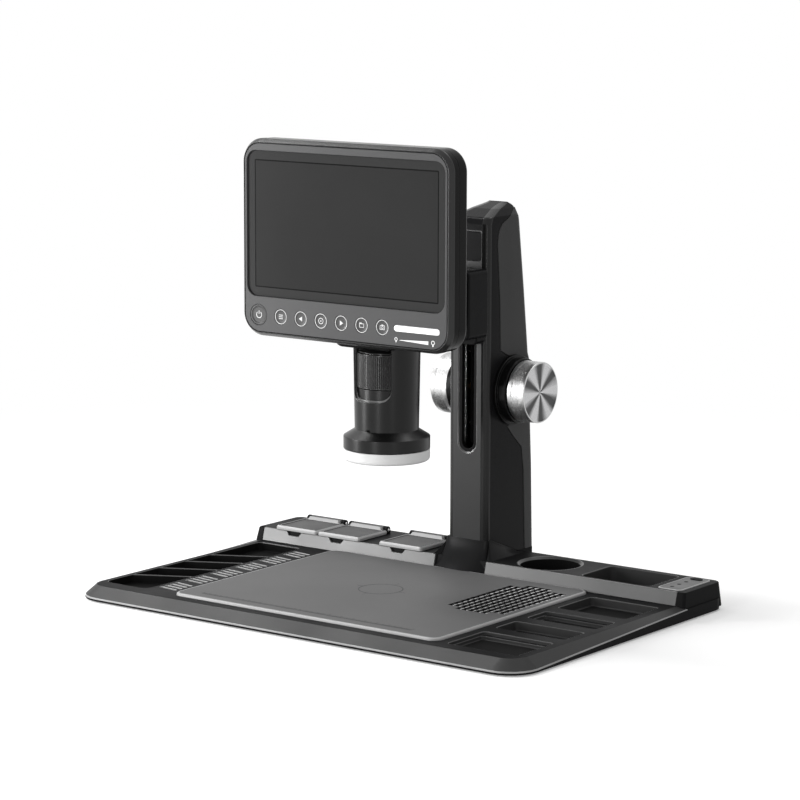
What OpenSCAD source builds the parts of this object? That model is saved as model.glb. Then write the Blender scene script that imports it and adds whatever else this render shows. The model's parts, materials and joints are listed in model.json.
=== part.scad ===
// Bench microscope with a built-in screen, on a parts tray with a rack-and-pinion column.
// Millimetres, +Z up. The origin is the middle of the footprint, on the surface it stands on.
// Depths named "from_front" are measured rearwards from the base's front lip.

/* [Base] */
// Width of the base tray
base_w = 381; // [360:1:420]
// Depth of the base tray from its front lip to its rear wall
base_d = 253.5; // [252:0.5:270]
// Radius of the front corners in plan
base_front_r = 22; // [18:1:26]
// Radius of the rear corners in plan
base_rear_r = 12; // [10:1:16]
// How far the feet stand out below the base
foot_proud = 0.8; // [0.6:0.1:2]
// Height of the tray's rim above the base's underside
tray_h = 9.4; // [9:0.1:12]
// Height of the deck above the base's underside
deck_h = 18.8; // [18:0.2:24]
// Height of the square lip along the front edge
lip_h = 2.2; // [1.6:0.1:3]
// Height of the lip where it meets the deck
lip_rear_h = 8; // [5:0.5:8.4]
// Width of the sloping edge along the front
bevel_front = 9; // [6:0.5:11]
// Width of the sloping edge along each side
bevel_side = 8; // [5:0.5:9]
// Depth of the raised deck, foot of its front face to rear wall
deck_d = 53.25; // [53:0.25:60]
// How far the deck's front face leans back over its height
deck_lean = 2.4; // [1:0.1:4]
// Thickness of the bottom cover
cover_t = 1.6; // [1.4:0.1:2]
// Width of the rim round the bottom cover
cover_rim = 5; // [4:0.5:6]
// Thickness of the moulded webs over the cavities
web_t = 2.2; // [1.8:0.1:2.6]

/* [Work pad] */
// Width of the work pad
pad_w = 227; // [200:1:228]
// Distance of the pad's front edge from the base's front lip
pad_from_front = 18; // [14:0.5:24]
// Thickness of the pad
pad_t = 2.4; // [2:0.1:3]
// How far the pad stands above the tray's rim
pad_proud = 1.2; // [0.6:0.1:1.6]
// Radius of the pad's front corners
pad_front_r = 8; // [2:0.5:10]
// Radius of the pad's rear corners
pad_rear_r = 8; // [4:0.5:10]
// Thickness of the steel ballast plate
ballast_t = 3; // [2:0.1:3.2]

/* [Trays] */
// Gap between the base's side and the trays
tray_side_gap = 11.5; // [11:0.5:14]
// Width of the divided tray on the left
tray_w = 39; // [34:1:42]
// Distance of the left tray from the front lip
tray_from_front = 21.5; // [18:0.5:28]
// Length of the left tray, front to rear
tray_len = 172; // [160:1:174]
// Distance of the first slanting divider from the left tray's front
divider_first = 40; // [36:1:44]
// Pitch of the slanting dividers
divider_pitch = 28.5; // [26:0.5:30]
// Number of slanting dividers in the left tray
divider_count = 4; // [2:1:4]
// Thickness of a divider
divider_t = 1.6; // [1.2:0.1:2.4]
// Thickness of the floor under the deep trays
tray_floor_t = 1.6; // [1.4:0.1:2]
// Width of the tool slots between the left tray and the pad
comb_w = 15.6; // [12:0.1:16]
// Width of one tool slot
comb_slot = 2.2; // [1.6:0.1:2.6]
// Pitch of the tool slots
comb_pitch = 5.5; // [4.6:0.1:7]
// Depth of the tool slots
comb_deep = 3; // [2:0.1:3.6]
// Width of the four wells on the right
well_w = 55; // [50:1:57]
// Length of the front and the rear well
well_long = 42; // [38:1:44]
// Length of each of the two middle wells
well_short = 24; // [20:1:26]
// Web between one well and the next
well_gap = 12.7; // [10:0.1:12.8]
// Depth of the two shallow wells
well_shallow = 4.6; // [4.5:0.1:5]
// Depth of the step along the rear of a shallow well
well_step = 2.2; // [1.4:0.1:3]

/* [Deck fittings] */
// Radius of the round cup recess
cup_r = 21.5; // [18:0.5:22]
// Sideways place of the cup recess
cup_x = 61; // [58:1:64]
// Width of the chamfer round the cup's mouth
cup_chamfer = 1.8; // [1:0.1:2]
// Gap between the cup and the rectangular recess
bin_gap = 17.5; // [16:0.5:19]
// Width of the rectangular recess
bin_w = 57; // [48:1:58]
// Depth of the rectangular recess, front to rear
bin_d = 41; // [36:1:42]
// Thickness of the deck trim strips
trim_t = 1.8; // [1.4:0.1:2.2]
// Height of a finger notch in the trim
notch_h = 3.2; // [2.6:0.1:4.5]
// Width of a finger notch at its mouth
notch_w = 14; // [12:0.5:20]
// Width of a flip lid
lid_w = 38.6; // [34:0.2:39]
// Distance of the first lid from the base's side
lid_side_gap = 19.9; // [19:0.1:21]
// Gap between the first two lids
lid_gap = 1.4; // [1:0.1:2]
// Gap between the third lid and the column's skirt
lid_skirt_gap = 13.2; // [12:0.2:14]
// Depth of a flip lid, front edge to hinge
lid_d = 38.4; // [34:0.2:41]
// Thickness of a flip lid
lid_t = 3.1; // [2.6:0.1:3.6]
// Radius of the lids' hinge pins
lid_pin_r = 1; // [0.8:0.1:1.2]
// Width of the control plate
plate_w = 19.5; // [18:0.5:20]
// Length of the control plate
plate_l = 42; // [41:0.5:44]
// Travel of the control plate's button
base_key_travel = 0.6; // [0.4:0.1:0.8]

/* [Column] */
// Distance of the column's front face from the base's front lip
col_from_front = 209.5; // [208:0.5:210]
// Width of the column
col_w = 34; // [34:0.5:38]
// Depth of the column at its foot
col_d = 62.5; // [61:0.5:66]
// Height of the column above the deck
col_h = 255.4; // [250:0.2:280]
// Wall of the column's shells
col_wall = 2.6; // [2.2:0.1:2.8]
// Rise of the column's sloping top, front to rear
top_rise = 9; // [6:0.5:12]
// Slope of the facets along both sides of the top, in degrees
facet_slope = 42; // [34:0.5:50]
// Height of the flared skirt above the deck
skirt_h = 13.2; // [10:0.2:18]
// Width of the slot that the carriage's neck runs in
slot_w = 10.4; // [9:0.2:11]
// Height of the slot's lower end above the deck
slot_low = 78.8; // [70:0.2:84]
// Radius of the guide rods
rod_r = 2.8; // [2.4:0.1:3]

/* [Focus drive] */
// Height of the knobs' axis above the deck
drive_h = 119.2; // [116:0.2:122]
// Depth of the knobs' axis behind the column's front face
drive_v = 33; // [33:0.5:34]
// Radius of the knobs
knob_r = 22; // [18:0.5:23]
// Thickness of a knob
knob_t = 14.7; // [12:0.1:18]
// Thickness of the collar behind a knob
collar_t = 9; // [7:0.5:11]
// How much larger the collar is than the knob, in radius
collar_extra = 1.5; // [0.5:0.1:2]
// Radius of the knobs' shaft
shaft_r = 4; // [3.5:0.1:4.5]
// Gear module of rack and pinion
gear_m = 1; // [1:0.1:1.1]
// Teeth on the pinion
pinion_teeth = 16; // [16:1:16]
// Travel of the head down from its rest height
travel_down = 80; // [60:1:82]
// Travel of the head up from its rest height
travel_up = 4; // [2:0.5:6]
// Radius of the lock knob at the back of the column
lock_r = 7.5; // [6:0.5:9]
// Length of the lock knob's head
lock_len = 11; // [8:0.5:14]
// Height of the lock knob above the deck
lock_h = 147; // [146:0.5:150]

/* [Carriage and arm] */
// Height of the carriage block's underside above the deck
carriage_low = 160.6; // [158:0.1:163]
// Height of the carriage block
carriage_h = 49; // [44:0.5:50]
// Width of the carriage block
carriage_w = 37; // [34:0.5:40]
// Depth of the carriage block in front of the column
carriage_d = 24.1; // [20:0.1:28]
// Width of the arm
arm_w = 28; // [22:0.5:32]
// Height of the arm
arm_h = 32; // [26:0.5:36]
// Width of the camera housing
head_w = 52; // [48:0.5:60]
// Height of the camera housing
head_h = 52; // [48:0.5:60]
// Depth of the camera housing behind the display
head_d = 52.5; // [51:0.5:60]

/* [Optical barrel] */
// Distance of the optical axis from the base's front lip
axis_from_front = 114.5; // [113:0.5:115]
// Height of the barrel's top above the deck
barrel_top = 164.4; // [162:0.2:167]
// Length of the barrel sleeve
barrel_len = 57.7; // [56:0.1:64]
// Radius of the sleeve at its top
barrel_r = 23.2; // [23:0.1:24]
// Radius of the sleeve at its foot
barrel_low_r = 22.2; // [22:0.1:23]
// Wall of the sleeve
barrel_wall = 1.8; // [1.4:0.1:1.8]
// Radius of the focus ring
ring_r = 20.6; // [20:0.1:20.7]
// Height of the focus ring
ring_h = 22; // [18:0.5:23]
// Radius of the sliding lens tube
tube_r = 17; // [16:0.1:17.2]
// Travel of the lens tube each way
lens_travel = 2; // [1:0.1:2.5]
// Radius of the light ring's flange
flange_r = 30; // [27:0.5:32]
// Height of the flange's straight rim
flange_h = 10.5; // [9:0.5:13]
// Height of the flange's cone
flange_cone = 5; // [4:0.5:8]
// Height of the diffuser below the flange
diffuser_h = 5.7; // [4:0.1:8]
// Number of light-emitting diodes round the lens
led_count = 12; // [6:1:16]

/* [Display] */
// Height of the display's lower edge above the deck
disp_low = 170.7; // [168:0.1:173]
// Thickness of the front bezel
bezel_t = 9; // [8.5:0.1:10]
// Thickness of the rear shell
shell_t = 12.5; // [12:0.1:16]
// Corner radius of the display
disp_r = 15; // [10:0.5:18]
// Width of the picture on the panel
lcd_w = 154.1; // [150:0.1:156]
// Height of the picture on the panel
lcd_h = 86; // [82:0.1:88]
// Black margin at each side of the picture
mask_side = 6.95; // [6:0.05:7.5]
// Black margin above and below the picture
mask_top = 7.1; // [6:0.1:7.6]
// Width of the bezel at each side of the window
border_side = 4; // [3.5:0.1:6]
// Height of the bezel above the window
border_top = 8.1; // [8:0.1:10]
// Height of the bezel below the window
chin_h = 26.5; // [26:0.1:30]
// Depth of the glass behind the bezel's face
window_sunk = 1.4; // [0.8:0.1:1.6]
// Thickness of the cover glass
glass_t = 1.5; // [1:0.1:1.8]
// Height of the buttons' centres above the display's lower edge
key_up = 13.7; // [13:0.1:14.4]
// Radius of a small button
key_r = 5.3; // [4.5:0.1:5.6]
// Radius of the power button
power_r = 7.2; // [6:0.1:7.6]
// Pitch of the small buttons
key_pitch = 17.4; // [16.5:0.1:17.6]
// Distance of the first small button from the power button
key_offset = 19.5; // [18:0.1:22]
// Distance of the power button from the display's side
power_from_side = 14; // [13:0.5:16]
// Travel of the buttons
key_travel = 0.8; // [0.5:0.1:1]
// Gap between the last small button and the brightness bar
bar_gap = 3.9; // [3:0.1:8]
// Distance of the brightness bar from the display's side
bar_margin = 7.7; // [6:0.1:14]
// Height of the white brightness bar
bar_h = 5.2; // [4:0.1:6]

/* [Fits] */
// Clearance between pieces that stay still
fit = 0.15; // [0.1:0.05:0.2]
// Radial clearance of pins, rods and shafts
run = 0.05; // [0.02:0.01:0.08]

/* [Hidden] */
$fn = 72;
hull_fn = 32;
eps = 0.01;
LIDS = ["lid_1", "lid_2", "lid_3"];
KEYS = ["key_menu", "key_left", "key_select", "key_right", "key_files", "key_camera"];

// Heights
under_z = foot_proud;
cover_z = under_z + cover_t;
floor_z = cover_z + tray_floor_t;
rim_z = under_z + tray_h;
deck_z = under_z + deck_h;
pad_z = rim_z + pad_proud;
cavity_z = pad_z - pad_t - web_t;
col_top = deck_z + col_h;

half_col = col_w / 2;

// Column outline: share of height and share of depth of its rear wall
REAR = [[0, 1], [0.238, 0.968], [0.394, 0.928], [0.571, 0.872], [0.748, 0.784], [0.94, 0.672]];
function rear_at(z) = col_d * lookup((z - deck_z) / col_h, REAR);

// Depths
lock_z = deck_z + lock_h;
lock_seat_v = rear_at(lock_z - lock_r) + 0.6;
total_d = col_from_front + lock_seat_v + lock_len;
front_y = -total_d / 2;
base_y = front_y + base_d / 2;
rear_y = front_y + base_d;
deck_y = rear_y - deck_d;
col_y = front_y + col_from_front;
axis_y = front_y + axis_from_front;

// Trays
side_x = base_w / 2;
tray_x = -side_x + tray_side_gap;
tray_y = front_y + tray_from_front;
comb_x = tray_x + tray_w + 3.8;
well_x = side_x - tray_side_gap - 3 - well_w;
WELLS = [[0, well_long, true], [well_long + well_gap, well_short, false],
    [well_long + well_short + 2 * well_gap, well_short, true],
    [well_long + 2 * well_short + 3 * well_gap, well_long, false]];

// Deck fittings
deck_mid_y = deck_y + deck_d / 2 + 0.4;
cup_floor = floor_z + 1.2;
bin_x = cup_x + cup_r + bin_gap + bin_w / 2;
plate_x = side_x - 18;
plate_y = deck_mid_y + 0.3;
notch_shift = -2;
deck_ledge = 0.5;
deck_draft = 2.5;
lid_front = deck_y + deck_lean - 0.6;
hinge_r = lid_pin_r + 1.6;
hinge_y = lid_front + lid_d;
hinge_z = deck_z + fit + 0.1 + hinge_r;
pocket_w = lid_w - 8;
pocket_d = lid_d - 14;
ear_t = 3;
plate_t = 1.6;
LIGHTS_Y = [-13, -4, 5.4];
base_key_y = 16;
base_key_low = deck_z - plate_t - 1.2;
board_z = deck_z - 6;
screw_x = (bin_x + bin_w / 2 + plate_x - plate_w / 2) / 2;

// Skirt
skirt_x = half_col + 5;
first_lid_x = -side_x + lid_side_gap + lid_w / 2;
LID_X = [first_lid_x, first_lid_x + lid_w + lid_gap, -skirt_x - lid_skirt_gap - lid_w / 2];
skirt_flare = 3;
skirt_bow = 4.7;
skirt_rear = deck_y + 46.5;

// Drive
drive_y = col_y + drive_v;
drive_z = deck_z + drive_h;
pitch_r = gear_m * pinion_teeth / 2;
tip_r = pitch_r + gear_m;
root_r = pitch_r - 1.25 * gear_m;
inner_x = half_col - col_wall;
collar_r = knob_r + collar_extra;
boss_r = collar_r + 2;
boss_t = 2.5;
front_top = col_h - top_rise - 6;
facet_up = 5.1;
rear_top = 35;
knob_in = half_col + collar_t + 0.3;
knob_out = knob_in + knob_t;
rod_x = 9.6;
rod_v = 9.6;
slider_v0 = 4;
slider_v1 = drive_v - pitch_r - 9;
rod_low = deck_z + 7;
rod_high = col_top - 23;
foot_block = 12;

// Carriage, arm and head
car_z = deck_z + carriage_low;
car_y = col_y - carriage_d - 0.4;
neck_z = car_z + 5.5;
neck_h = carriage_h - 12;
arm_z = car_z + 10.3;
disp_y = front_y + 66;
seam_y = disp_y + bezel_t;
back_y = seam_y + shell_t;
head_y = back_y + head_d;
barrel_z = deck_z + barrel_top;
sleeve_z = barrel_z - barrel_len;
ring_z = sleeve_z + 27.7;
shelf_in = tube_r + 0.3;
shelf_t = 2.2;
flange_z = sleeve_z - flange_cone - flange_h;
tube_z = sleeve_z + 14;
lens_r = tube_r - 2.6;

// Display
window_w = lcd_w + 2 * mask_side;
window_h = lcd_h + 2 * mask_top;
disp_w = window_w + 2 * border_side;
disp_h = border_top + window_h + chin_h;
disp_z = deck_z + disp_low;
disp_mid = disp_z + disp_h / 2;
window_z = disp_z + chin_h + window_h / 2;
window_r = 8;
glass_y = disp_y + window_sunk;
lcd_y = glass_y + glass_t + 0.1;
lcd_t = 3.2;
key_z = disp_z + key_up;
power_x = -disp_w / 2 + power_from_side;
key_first = power_x + key_offset;
key_last = key_first + (len(KEYS) - 1) * key_pitch;
bar_low_x = key_last + key_r + bar_gap;
bar_high_x = disp_w / 2 - bar_margin;
bar_l = bar_high_x - bar_low_x;
bar_mid = (bar_high_x + bar_low_x) / 2;
bar_z = key_z + 0.4;
glass_ledge = 2;
panel_rim = 4.4;
key_pocket_low = 3;
key_pocket_h = chin_h - 5.1;
back_inset = 6.5;
shell_inset = 8;
shell_back = 2.2;
board_low = 12;
board_h = 44;
board_side = 12;
battery_side = 40;
battery_t = 6.5;
battery_low = board_low + board_h + 8;
battery_top = disp_h - 14.8;
screw_r = 1.5;
screw_head_r = 2.8;
inlet_x = (cup_x + cup_r + bin_x - bin_w / 2) / 2;
inlet_z = under_z + 11;
face_t = 3.2;
flange_t = 1.2;
key_flange = 0.9;
board_y = seam_y;
SCREWS = [for (top = [true, false], s = [-1, 1])
    [s * (disp_w / 2 - (top ? 16 : 25)), disp_z + (top ? disp_h - border_top / 2 : 4.5)]];
FEET = [[-1, -1], [1, -1], [-1, 1], [1, 1]];
BOLTS = [[-9.5, 20], [9.5, 20], [-9.5, 44], [9.5, 44]];

// Flat shapes: a rounded rectangle about the origin, and one with unlike front and rear corners
module rrect(w, d, r) {
    square([w - 2 * r, d], center = true);
    square([w, d - 2 * r], center = true);
    for (sx = [-1, 1], sy = [-1, 1]) translate([sx * (w / 2 - r), sy * (d / 2 - r)]) circle(r);
}
module plan(w, d, r_front, r_rear) {
    translate([-w / 2 + r_front, -d / 2]) square([w - 2 * r_front, d / 2]);
    translate([-w / 2 + r_rear, 0]) square([w - 2 * r_rear, d / 2]);
    translate([-w / 2, -d / 2 + r_front]) square([w, d - r_front - r_rear]);
    for (s = [-1, 1]) {
        translate([s * (w / 2 - r_front), -d / 2 + r_front]) circle(r_front);
        translate([s * (w / 2 - r_rear), d / 2 - r_rear]) circle(r_rear);
    }
}
// A block between two corners
module span(x0, x1, y0, y1, z0, z1) {
    translate([x0, y0, z0]) cube([x1 - x0, y1 - y0, z1 - z0]);
}
// A flat shape in X and Z, extruded rearwards from y0 to y1
module facing(y0, y1) {
    translate([0, y1, 0]) rotate([90, 0, 0]) linear_extrude(y1 - y0) children();
}
// A profile in Y and Z, extruded sideways from x0 to x1
module sideways(x0, x1) {
    translate([x0, 0, 0]) rotate([90, 0, 90]) linear_extrude(x1 - x0) children();
}
// A round bar along Y or along X
module bar_y(x, z, r, y0, y1) {
    translate([x, y0, z]) rotate([-90, 0, 0]) cylinder(r = r, h = y1 - y0);
}
module bar_x(y, z, r, x0, x1) {
    translate([x0, y, z]) rotate([0, 90, 0]) cylinder(r = r, h = x1 - x0);
}

// ---- Base ----
// Plan of the base at a given height, drawn in by the sloping edges
module base_plan(inset_f, inset_s, r_less) {
    translate([0, base_y + inset_f / 2])
        plan(base_w - 2 * inset_s, base_d - inset_f, base_front_r - r_less, base_rear_r);
}
module tray_solid() {
    hull() {
        translate([0, 0, under_z]) linear_extrude(lip_h, $fn = hull_fn) base_plan(0, 0, 0);
        translate([0, 0, rim_z - 0.2]) linear_extrude(0.2) base_plan(bevel_front, bevel_side, bevel_front);
        span(-side_x, side_x, deck_y, rear_y - base_rear_r, under_z, under_z + lip_rear_h);
    }
}
module deck_solid() {
    low_d = deck_d - 1 - deck_ledge;
    mid = rear_y - deck_ledge - low_d / 2;
    hull() {
        translate([0, mid, under_z + lip_h]) linear_extrude(0.2)
            rrect(base_w - 2 * deck_ledge, low_d, 6, $fn = hull_fn);
        translate([0, mid, deck_z - 0.2]) linear_extrude(0.2)
            rrect(base_w - 2 * deck_draft, low_d - 2, 6, $fn = hull_fn);
    }
}
module hump_solid() {
    depth = col_from_front + col_d + 1 - base_d;
    translate([0, rear_y - 15 + (depth + 15) / 2, under_z])
        linear_extrude(deck_h) rrect(col_w + 10, depth + 15, 8);
}
// Sloping front of the deck, as a profile that is moved rearwards by the trim's thickness
module deck_front(shift, x0, x1) {
    sideways(x0, x1) polygon([[deck_y + shift, rim_z], [deck_y + deck_lean + shift, deck_z],
        [deck_y + deck_lean + shift, deck_z + 20], [deck_y - 20, deck_z + 20], [deck_y - 20, rim_z]]);
}
module left_tray() {
    difference() {
        translate([tray_x + tray_w / 2, tray_y + tray_len / 2, floor_z])
            linear_extrude(tray_h) plan(tray_w, tray_len, 6, 3);
        for (i = [1 : divider_count]) {
            y = tray_y + divider_first + (i - 1) * divider_pitch;
            translate([tray_x + tray_w / 2, y, 0]) rotate([0, 0, 27])
                span(-tray_w, tray_w, -divider_t / 2, divider_t / 2, 0, rim_z - 0.4);
        }
    }
}
module comb_slots() {
    count = floor((tray_len - 14) / comb_pitch);
    for (i = [0 : count - 1]) if (i % 5 != 4)
        translate([comb_x + comb_w / 2, tray_y + 10 + i * comb_pitch, rim_z - comb_deep])
            rotate([0, 0, -8]) translate([0, 0, comb_deep / 2 + 1])
                cube([comb_w, comb_slot, comb_deep + 2], center = true);
}
module wells() {
    for (w = WELLS) {
        z = w[2] ? rim_z - well_shallow : floor_z;
        cut = w[2] ? 3.4 : 0;
        translate([well_x + well_w / 2, tray_y - 2 + w[0] + (w[1] - cut) / 2, z])
            linear_extrude(tray_h) rrect(well_w, w[1] - cut, 2.5);
        if (w[2]) translate([well_x + well_w / 2, tray_y - 2 + w[0] + w[1] / 2, rim_z - well_step])
            linear_extrude(tray_h) rrect(well_w, w[1], 2.5);
    }
}
module lid_pockets() {
    for (x = LID_X) translate([x, lid_front + 5 + pocket_d / 2, floor_z + 2])
        linear_extrude(deck_h) rrect(pocket_w, pocket_d, 3);
}
module base_shell() {
    color("#1b1b1d") difference() {
        union() {
            tray_solid();
            difference() {
                deck_solid();
                deck_front(trim_t, -side_x + 8.5 - fit, side_x - 8.5 + fit);
            }
            hump_solid();
            for (x = LID_X, s = [-1, 1]) lid_ear(x + s * (lid_w / 2 - 1.2 - ear_t / 2));
        }
        // Underside: seat of the bottom cover, and the cavities above it
        translate([0, base_y, -1]) linear_extrude(cover_z + 1)
            plan(base_w - 2 * cover_rim, base_d - 2 * cover_rim, base_front_r - cover_rim,
                base_rear_r - cover_rim);
        span(-pad_w / 2 + 6, pad_w / 2 - 6, front_y + pad_from_front + 8, deck_y - 6, 0, cavity_z);
        translate([plate_x, plate_y, 0]) linear_extrude(deck_z - plate_t) rrect(plate_w - 3, plate_l - 3, 2);
        // Seats and hollows in the top
        translate([0, 0, pad_z - pad_t]) linear_extrude(pad_t + 5) pad_plan(fit);
        left_tray();
        comb_slots();
        wells();
        lid_pockets();
        translate([cup_x, deck_mid_y, cup_floor]) cylinder(r = cup_r, h = deck_h);
        translate([cup_x, deck_mid_y, deck_z - cup_chamfer])
            cylinder(r1 = cup_r, r2 = cup_r + cup_chamfer + 0.1, h = cup_chamfer + 0.1);
        translate([bin_x, deck_mid_y, floor_z + 2]) linear_extrude(deck_h) rrect(bin_w, bin_d, 5);
        translate([plate_x, plate_y, deck_z - plate_t])
            linear_extrude(plate_t + 1) rrect(plate_w + 2 * fit, plate_l + 2 * fit, 4);
        // Column bolts, bottom screws, lid pins and the inlet
        for (b = BOLTS) translate([b[0], col_y + b[1], 0]) {
            cylinder(r = 2.7, h = deck_z + 1);
            cylinder(r = 4.6, h = cover_z + 6);
        }
        for (f = FEET) translate([f[0] * screw_x, base_y + f[1] * (base_d / 2 - 10.5), 0])
            cylinder(r = 1.25, h = cover_z + 4);
        for (x = LID_X) bar_x(hinge_y, hinge_z, lid_pin_r + run, x - lid_w / 2, x + lid_w / 2);
        inlet_hole(fit);
    }
    color("#1b1b1d") for (sx = [-1, 1], sy = [-1, 1])
        translate([plate_x + sx * (plate_w / 2 - 2.5), plate_y + sy * (plate_l / 2 - 10), cover_z])
            difference() {
                cylinder(r = 2, h = board_z - cover_z);
                translate([0, 0, -1]) cylinder(r = 0.8, h = 3);
            }
}
module lid_ear(x) {
    half = ear_t / 2;
    bar_x(hinge_y, hinge_z, hinge_r, x - half, x + half);
    span(x - half, x + half, hinge_y - hinge_r + 0.4, hinge_y + hinge_r - 0.4, deck_z - 0.5, hinge_z);
}
module inlet_hole(gap) {
    facing(rear_y - 9 - gap, rear_y + 5) translate([inlet_x, inlet_z]) rrect(9 + 2 * gap, 3.2 + 2 * gap, 1.5);
}
module base_cover() {
    color("#202022") difference() {
        translate([0, base_y, under_z]) linear_extrude(cover_t)
            plan(base_w - 2 * cover_rim - 2 * fit, base_d - 2 * cover_rim - 2 * fit,
                base_front_r - cover_rim, base_rear_r - cover_rim);
        for (f = FEET) translate([f[0] * (side_x - 30), base_y + f[1] * (base_d / 2 - 26), 0]) {
            cylinder(r = 8 + fit, h = under_z + 0.8);
        }
        for (f = FEET) translate([f[0] * screw_x, base_y + f[1] * (base_d / 2 - 10.5), 0])
            cylinder(r = 3.2, h = under_z + 0.8);
        for (f = FEET) translate([f[0] * screw_x, base_y + f[1] * (base_d / 2 - 10.5), 0])
            cylinder(r = 1.7, h = cover_z + 1);
        for (b = BOLTS) translate([b[0], col_y + b[1], 0]) cylinder(r = 4.6, h = cover_z + 1);
    }
}
module base_feet() {
    color("#2a2a2a") for (f = FEET)
        translate([f[0] * (side_x - 30), base_y + f[1] * (base_d / 2 - 26), 0])
            cylinder(r = 8, h = under_z + 0.8);
}
module base_screws() {
    color("#8d9095") for (f = FEET)
        translate([f[0] * screw_x, base_y + f[1] * (base_d / 2 - 10.5), under_z]) {
            cylinder(r = 2.9, h = 0.8);
            cylinder(r = 1.2, h = cover_t + 3.6);
        }
}
module ballast_plate() {
    color("#7c7f84") difference() {
        span(-pad_w / 2 + 12, pad_w / 2 - 12, front_y + pad_from_front + 14, deck_y - 12,
            cover_z, cover_z + ballast_t);
        translate([0, axis_y, 0]) cylinder(r = 30, h = 20);
    }
}
module charging_coil() {
    color("#b06a3a") translate([0, axis_y, cavity_z - 1.2]) difference() {
        cylinder(r = 25, h = 1.2);
        translate([0, 0, -1]) cylinder(r = 11, h = 4);
    }
}
module pad_plan(gap) {
    d = deck_y - front_y - pad_from_front - 0.4;
    translate([0, front_y + pad_from_front + d / 2])
        plan(pad_w + 2 * gap, d + 2 * gap, pad_front_r + gap, pad_rear_r + gap);
}
module work_pad() {
    color("#737373") difference() {
        translate([0, 0, pad_z - pad_t]) linear_extrude(pad_t) pad_plan(0);
        linear_extrude(pad_z + 1) skirt_plan(fit);
    }
}
module deck_trim(x0, x1) {
    color("#8c8c8c") difference() {
        sideways(x0, x1) polygon([[deck_y, rim_z], [deck_y + deck_lean, deck_z],
            [deck_y + deck_lean + trim_t - fit, deck_z], [deck_y + trim_t - fit, rim_z]]);
        for (x = LID_X) translate([notch_shift, 0, 0]) facing(deck_y - 5, deck_y + 15)
            polygon([[x - notch_w / 2, deck_z + 1], [x + notch_w / 2, deck_z + 1],
                [x + notch_w / 2 - 2.5, deck_z - notch_h], [x - notch_w / 2 + 2.5, deck_z - notch_h]]);
        skirt_shape(fit);
    }
}
module deck_trim_left() {
    deck_trim(-side_x + 8.5, -22.4);
}
module deck_trim_right() {
    deck_trim(22.4, side_x - 8.5);
}
module lid(x) {
    top = deck_z + fit + lid_t;
    color("#686868") difference() {
        union() {
            difference() {
                translate([x, lid_front + lid_d / 2, deck_z + fit])
                    linear_extrude(lid_t) rrect(lid_w, lid_d, 2);
                for (s = [-1, 1]) translate([x + s * (lid_w / 2 - 1.2 - ear_t / 2), hinge_y, deck_z])
                    cube([ear_t + 0.8, 2 * hinge_r + 1, 12], center = true);
            }
            bar_x(hinge_y, hinge_z, hinge_r, x - lid_w / 2 + ear_t + 1.6, x + lid_w / 2 - ear_t - 1.6);
        }
        translate([x, lid_front + lid_d / 2 - 1.6, top - 0.5])
            linear_extrude(2) rrect(lid_w - 5, lid_d - 9, 1.5);
        bar_x(hinge_y, hinge_z, lid_pin_r + run, x - lid_w, x + lid_w);
    }
}
module lid_pins() {
    color("#a8abb0") for (x = LID_X)
        bar_x(hinge_y, hinge_z, lid_pin_r, x - lid_w / 2 + 1.2, x + lid_w / 2 - 1.2);
}
module base_key_plan(gap) {
    translate([plate_x, plate_y + base_key_y]) rrect(9.4 + 2 * gap, 5 + 2 * gap, 2.5 + gap - eps);
}
module control_plate() {
    color("#7d7d7d") difference() {
        translate([plate_x, plate_y, deck_z - plate_t]) linear_extrude(plate_t + 0.4)
            rrect(plate_w, plate_l, 4);
        for (y = LIGHTS_Y) translate([plate_x - 1.8, plate_y + y, 0]) cylinder(r = 1.4 + run, h = 40);
        linear_extrude(40) base_key_plan(fit);
    }
}
module status_lights() {
    color("#e8f0ff") for (y = LIGHTS_Y) translate([plate_x - 1.8, plate_y + y, board_z + 1.6])
        cylinder(r = 1.4, h = deck_z + 0.5 - board_z - 1.6);
}
module base_button() {
    color("#2b2b2d") {
        translate([0, 0, deck_z - plate_t - 1]) linear_extrude(plate_t + 2) base_key_plan(0);
        translate([0, 0, base_key_low]) linear_extrude(1) base_key_plan(0.6);
    }
}
module control_board() {
    color("#1f5b35") {
        translate([plate_x, plate_y, board_z]) linear_extrude(1.6) rrect(plate_w - 4.6, plate_l - 4.6, 1.5);
        translate([plate_x, plate_y + base_key_y, board_z + 1.6])
            cylinder(r = 2, h = base_key_low - base_key_travel - 0.1 - board_z - 1.6);
    }
}
module power_inlet() {
    color("#b8bcc2") difference() {
        facing(rear_y - 9, rear_y - 0.4) translate([inlet_x, inlet_z]) rrect(9, 3.2, 1.5);
        facing(rear_y - 7, rear_y + 1) translate([inlet_x, inlet_z]) rrect(8.2, 2.4, 1.15);
    }
}

// ---- Column ----
// The flared skirt that hides where the column meets the tray and the deck
module skirt_plan(gap) {
    x = skirt_x + gap;
    bow = [for (t = [-1 : 0.25 : 1]) [t * x, deck_y - skirt_bow * (1 - t * t) - gap]];
    polygon(concat(bow, [[x + skirt_flare, deck_y + 3], [x + skirt_flare, skirt_rear],
        [-x - skirt_flare, skirt_rear], [-x - skirt_flare, deck_y + 3]]));
}
module skirt_shape(gap) {
    x = skirt_x + skirt_flare + gap;
    top_z = deck_z + skirt_h + gap;
    hull() {
        translate([0, 0, rim_z]) linear_extrude(0.3) skirt_plan(gap);
        span(-x, x, deck_y + 4, skirt_rear, deck_z, deck_z + 0.3);
        span(-half_col - 0.8, half_col + 0.8, col_y - 0.5 - gap, col_y + 5, top_z - 0.3, top_z);
    }
}
module foot_skirt() {
    color("#2b2b2c") difference() {
        skirt_shape(0);
        deck_front_block();
        column_outer(fit);
    }
}
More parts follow.
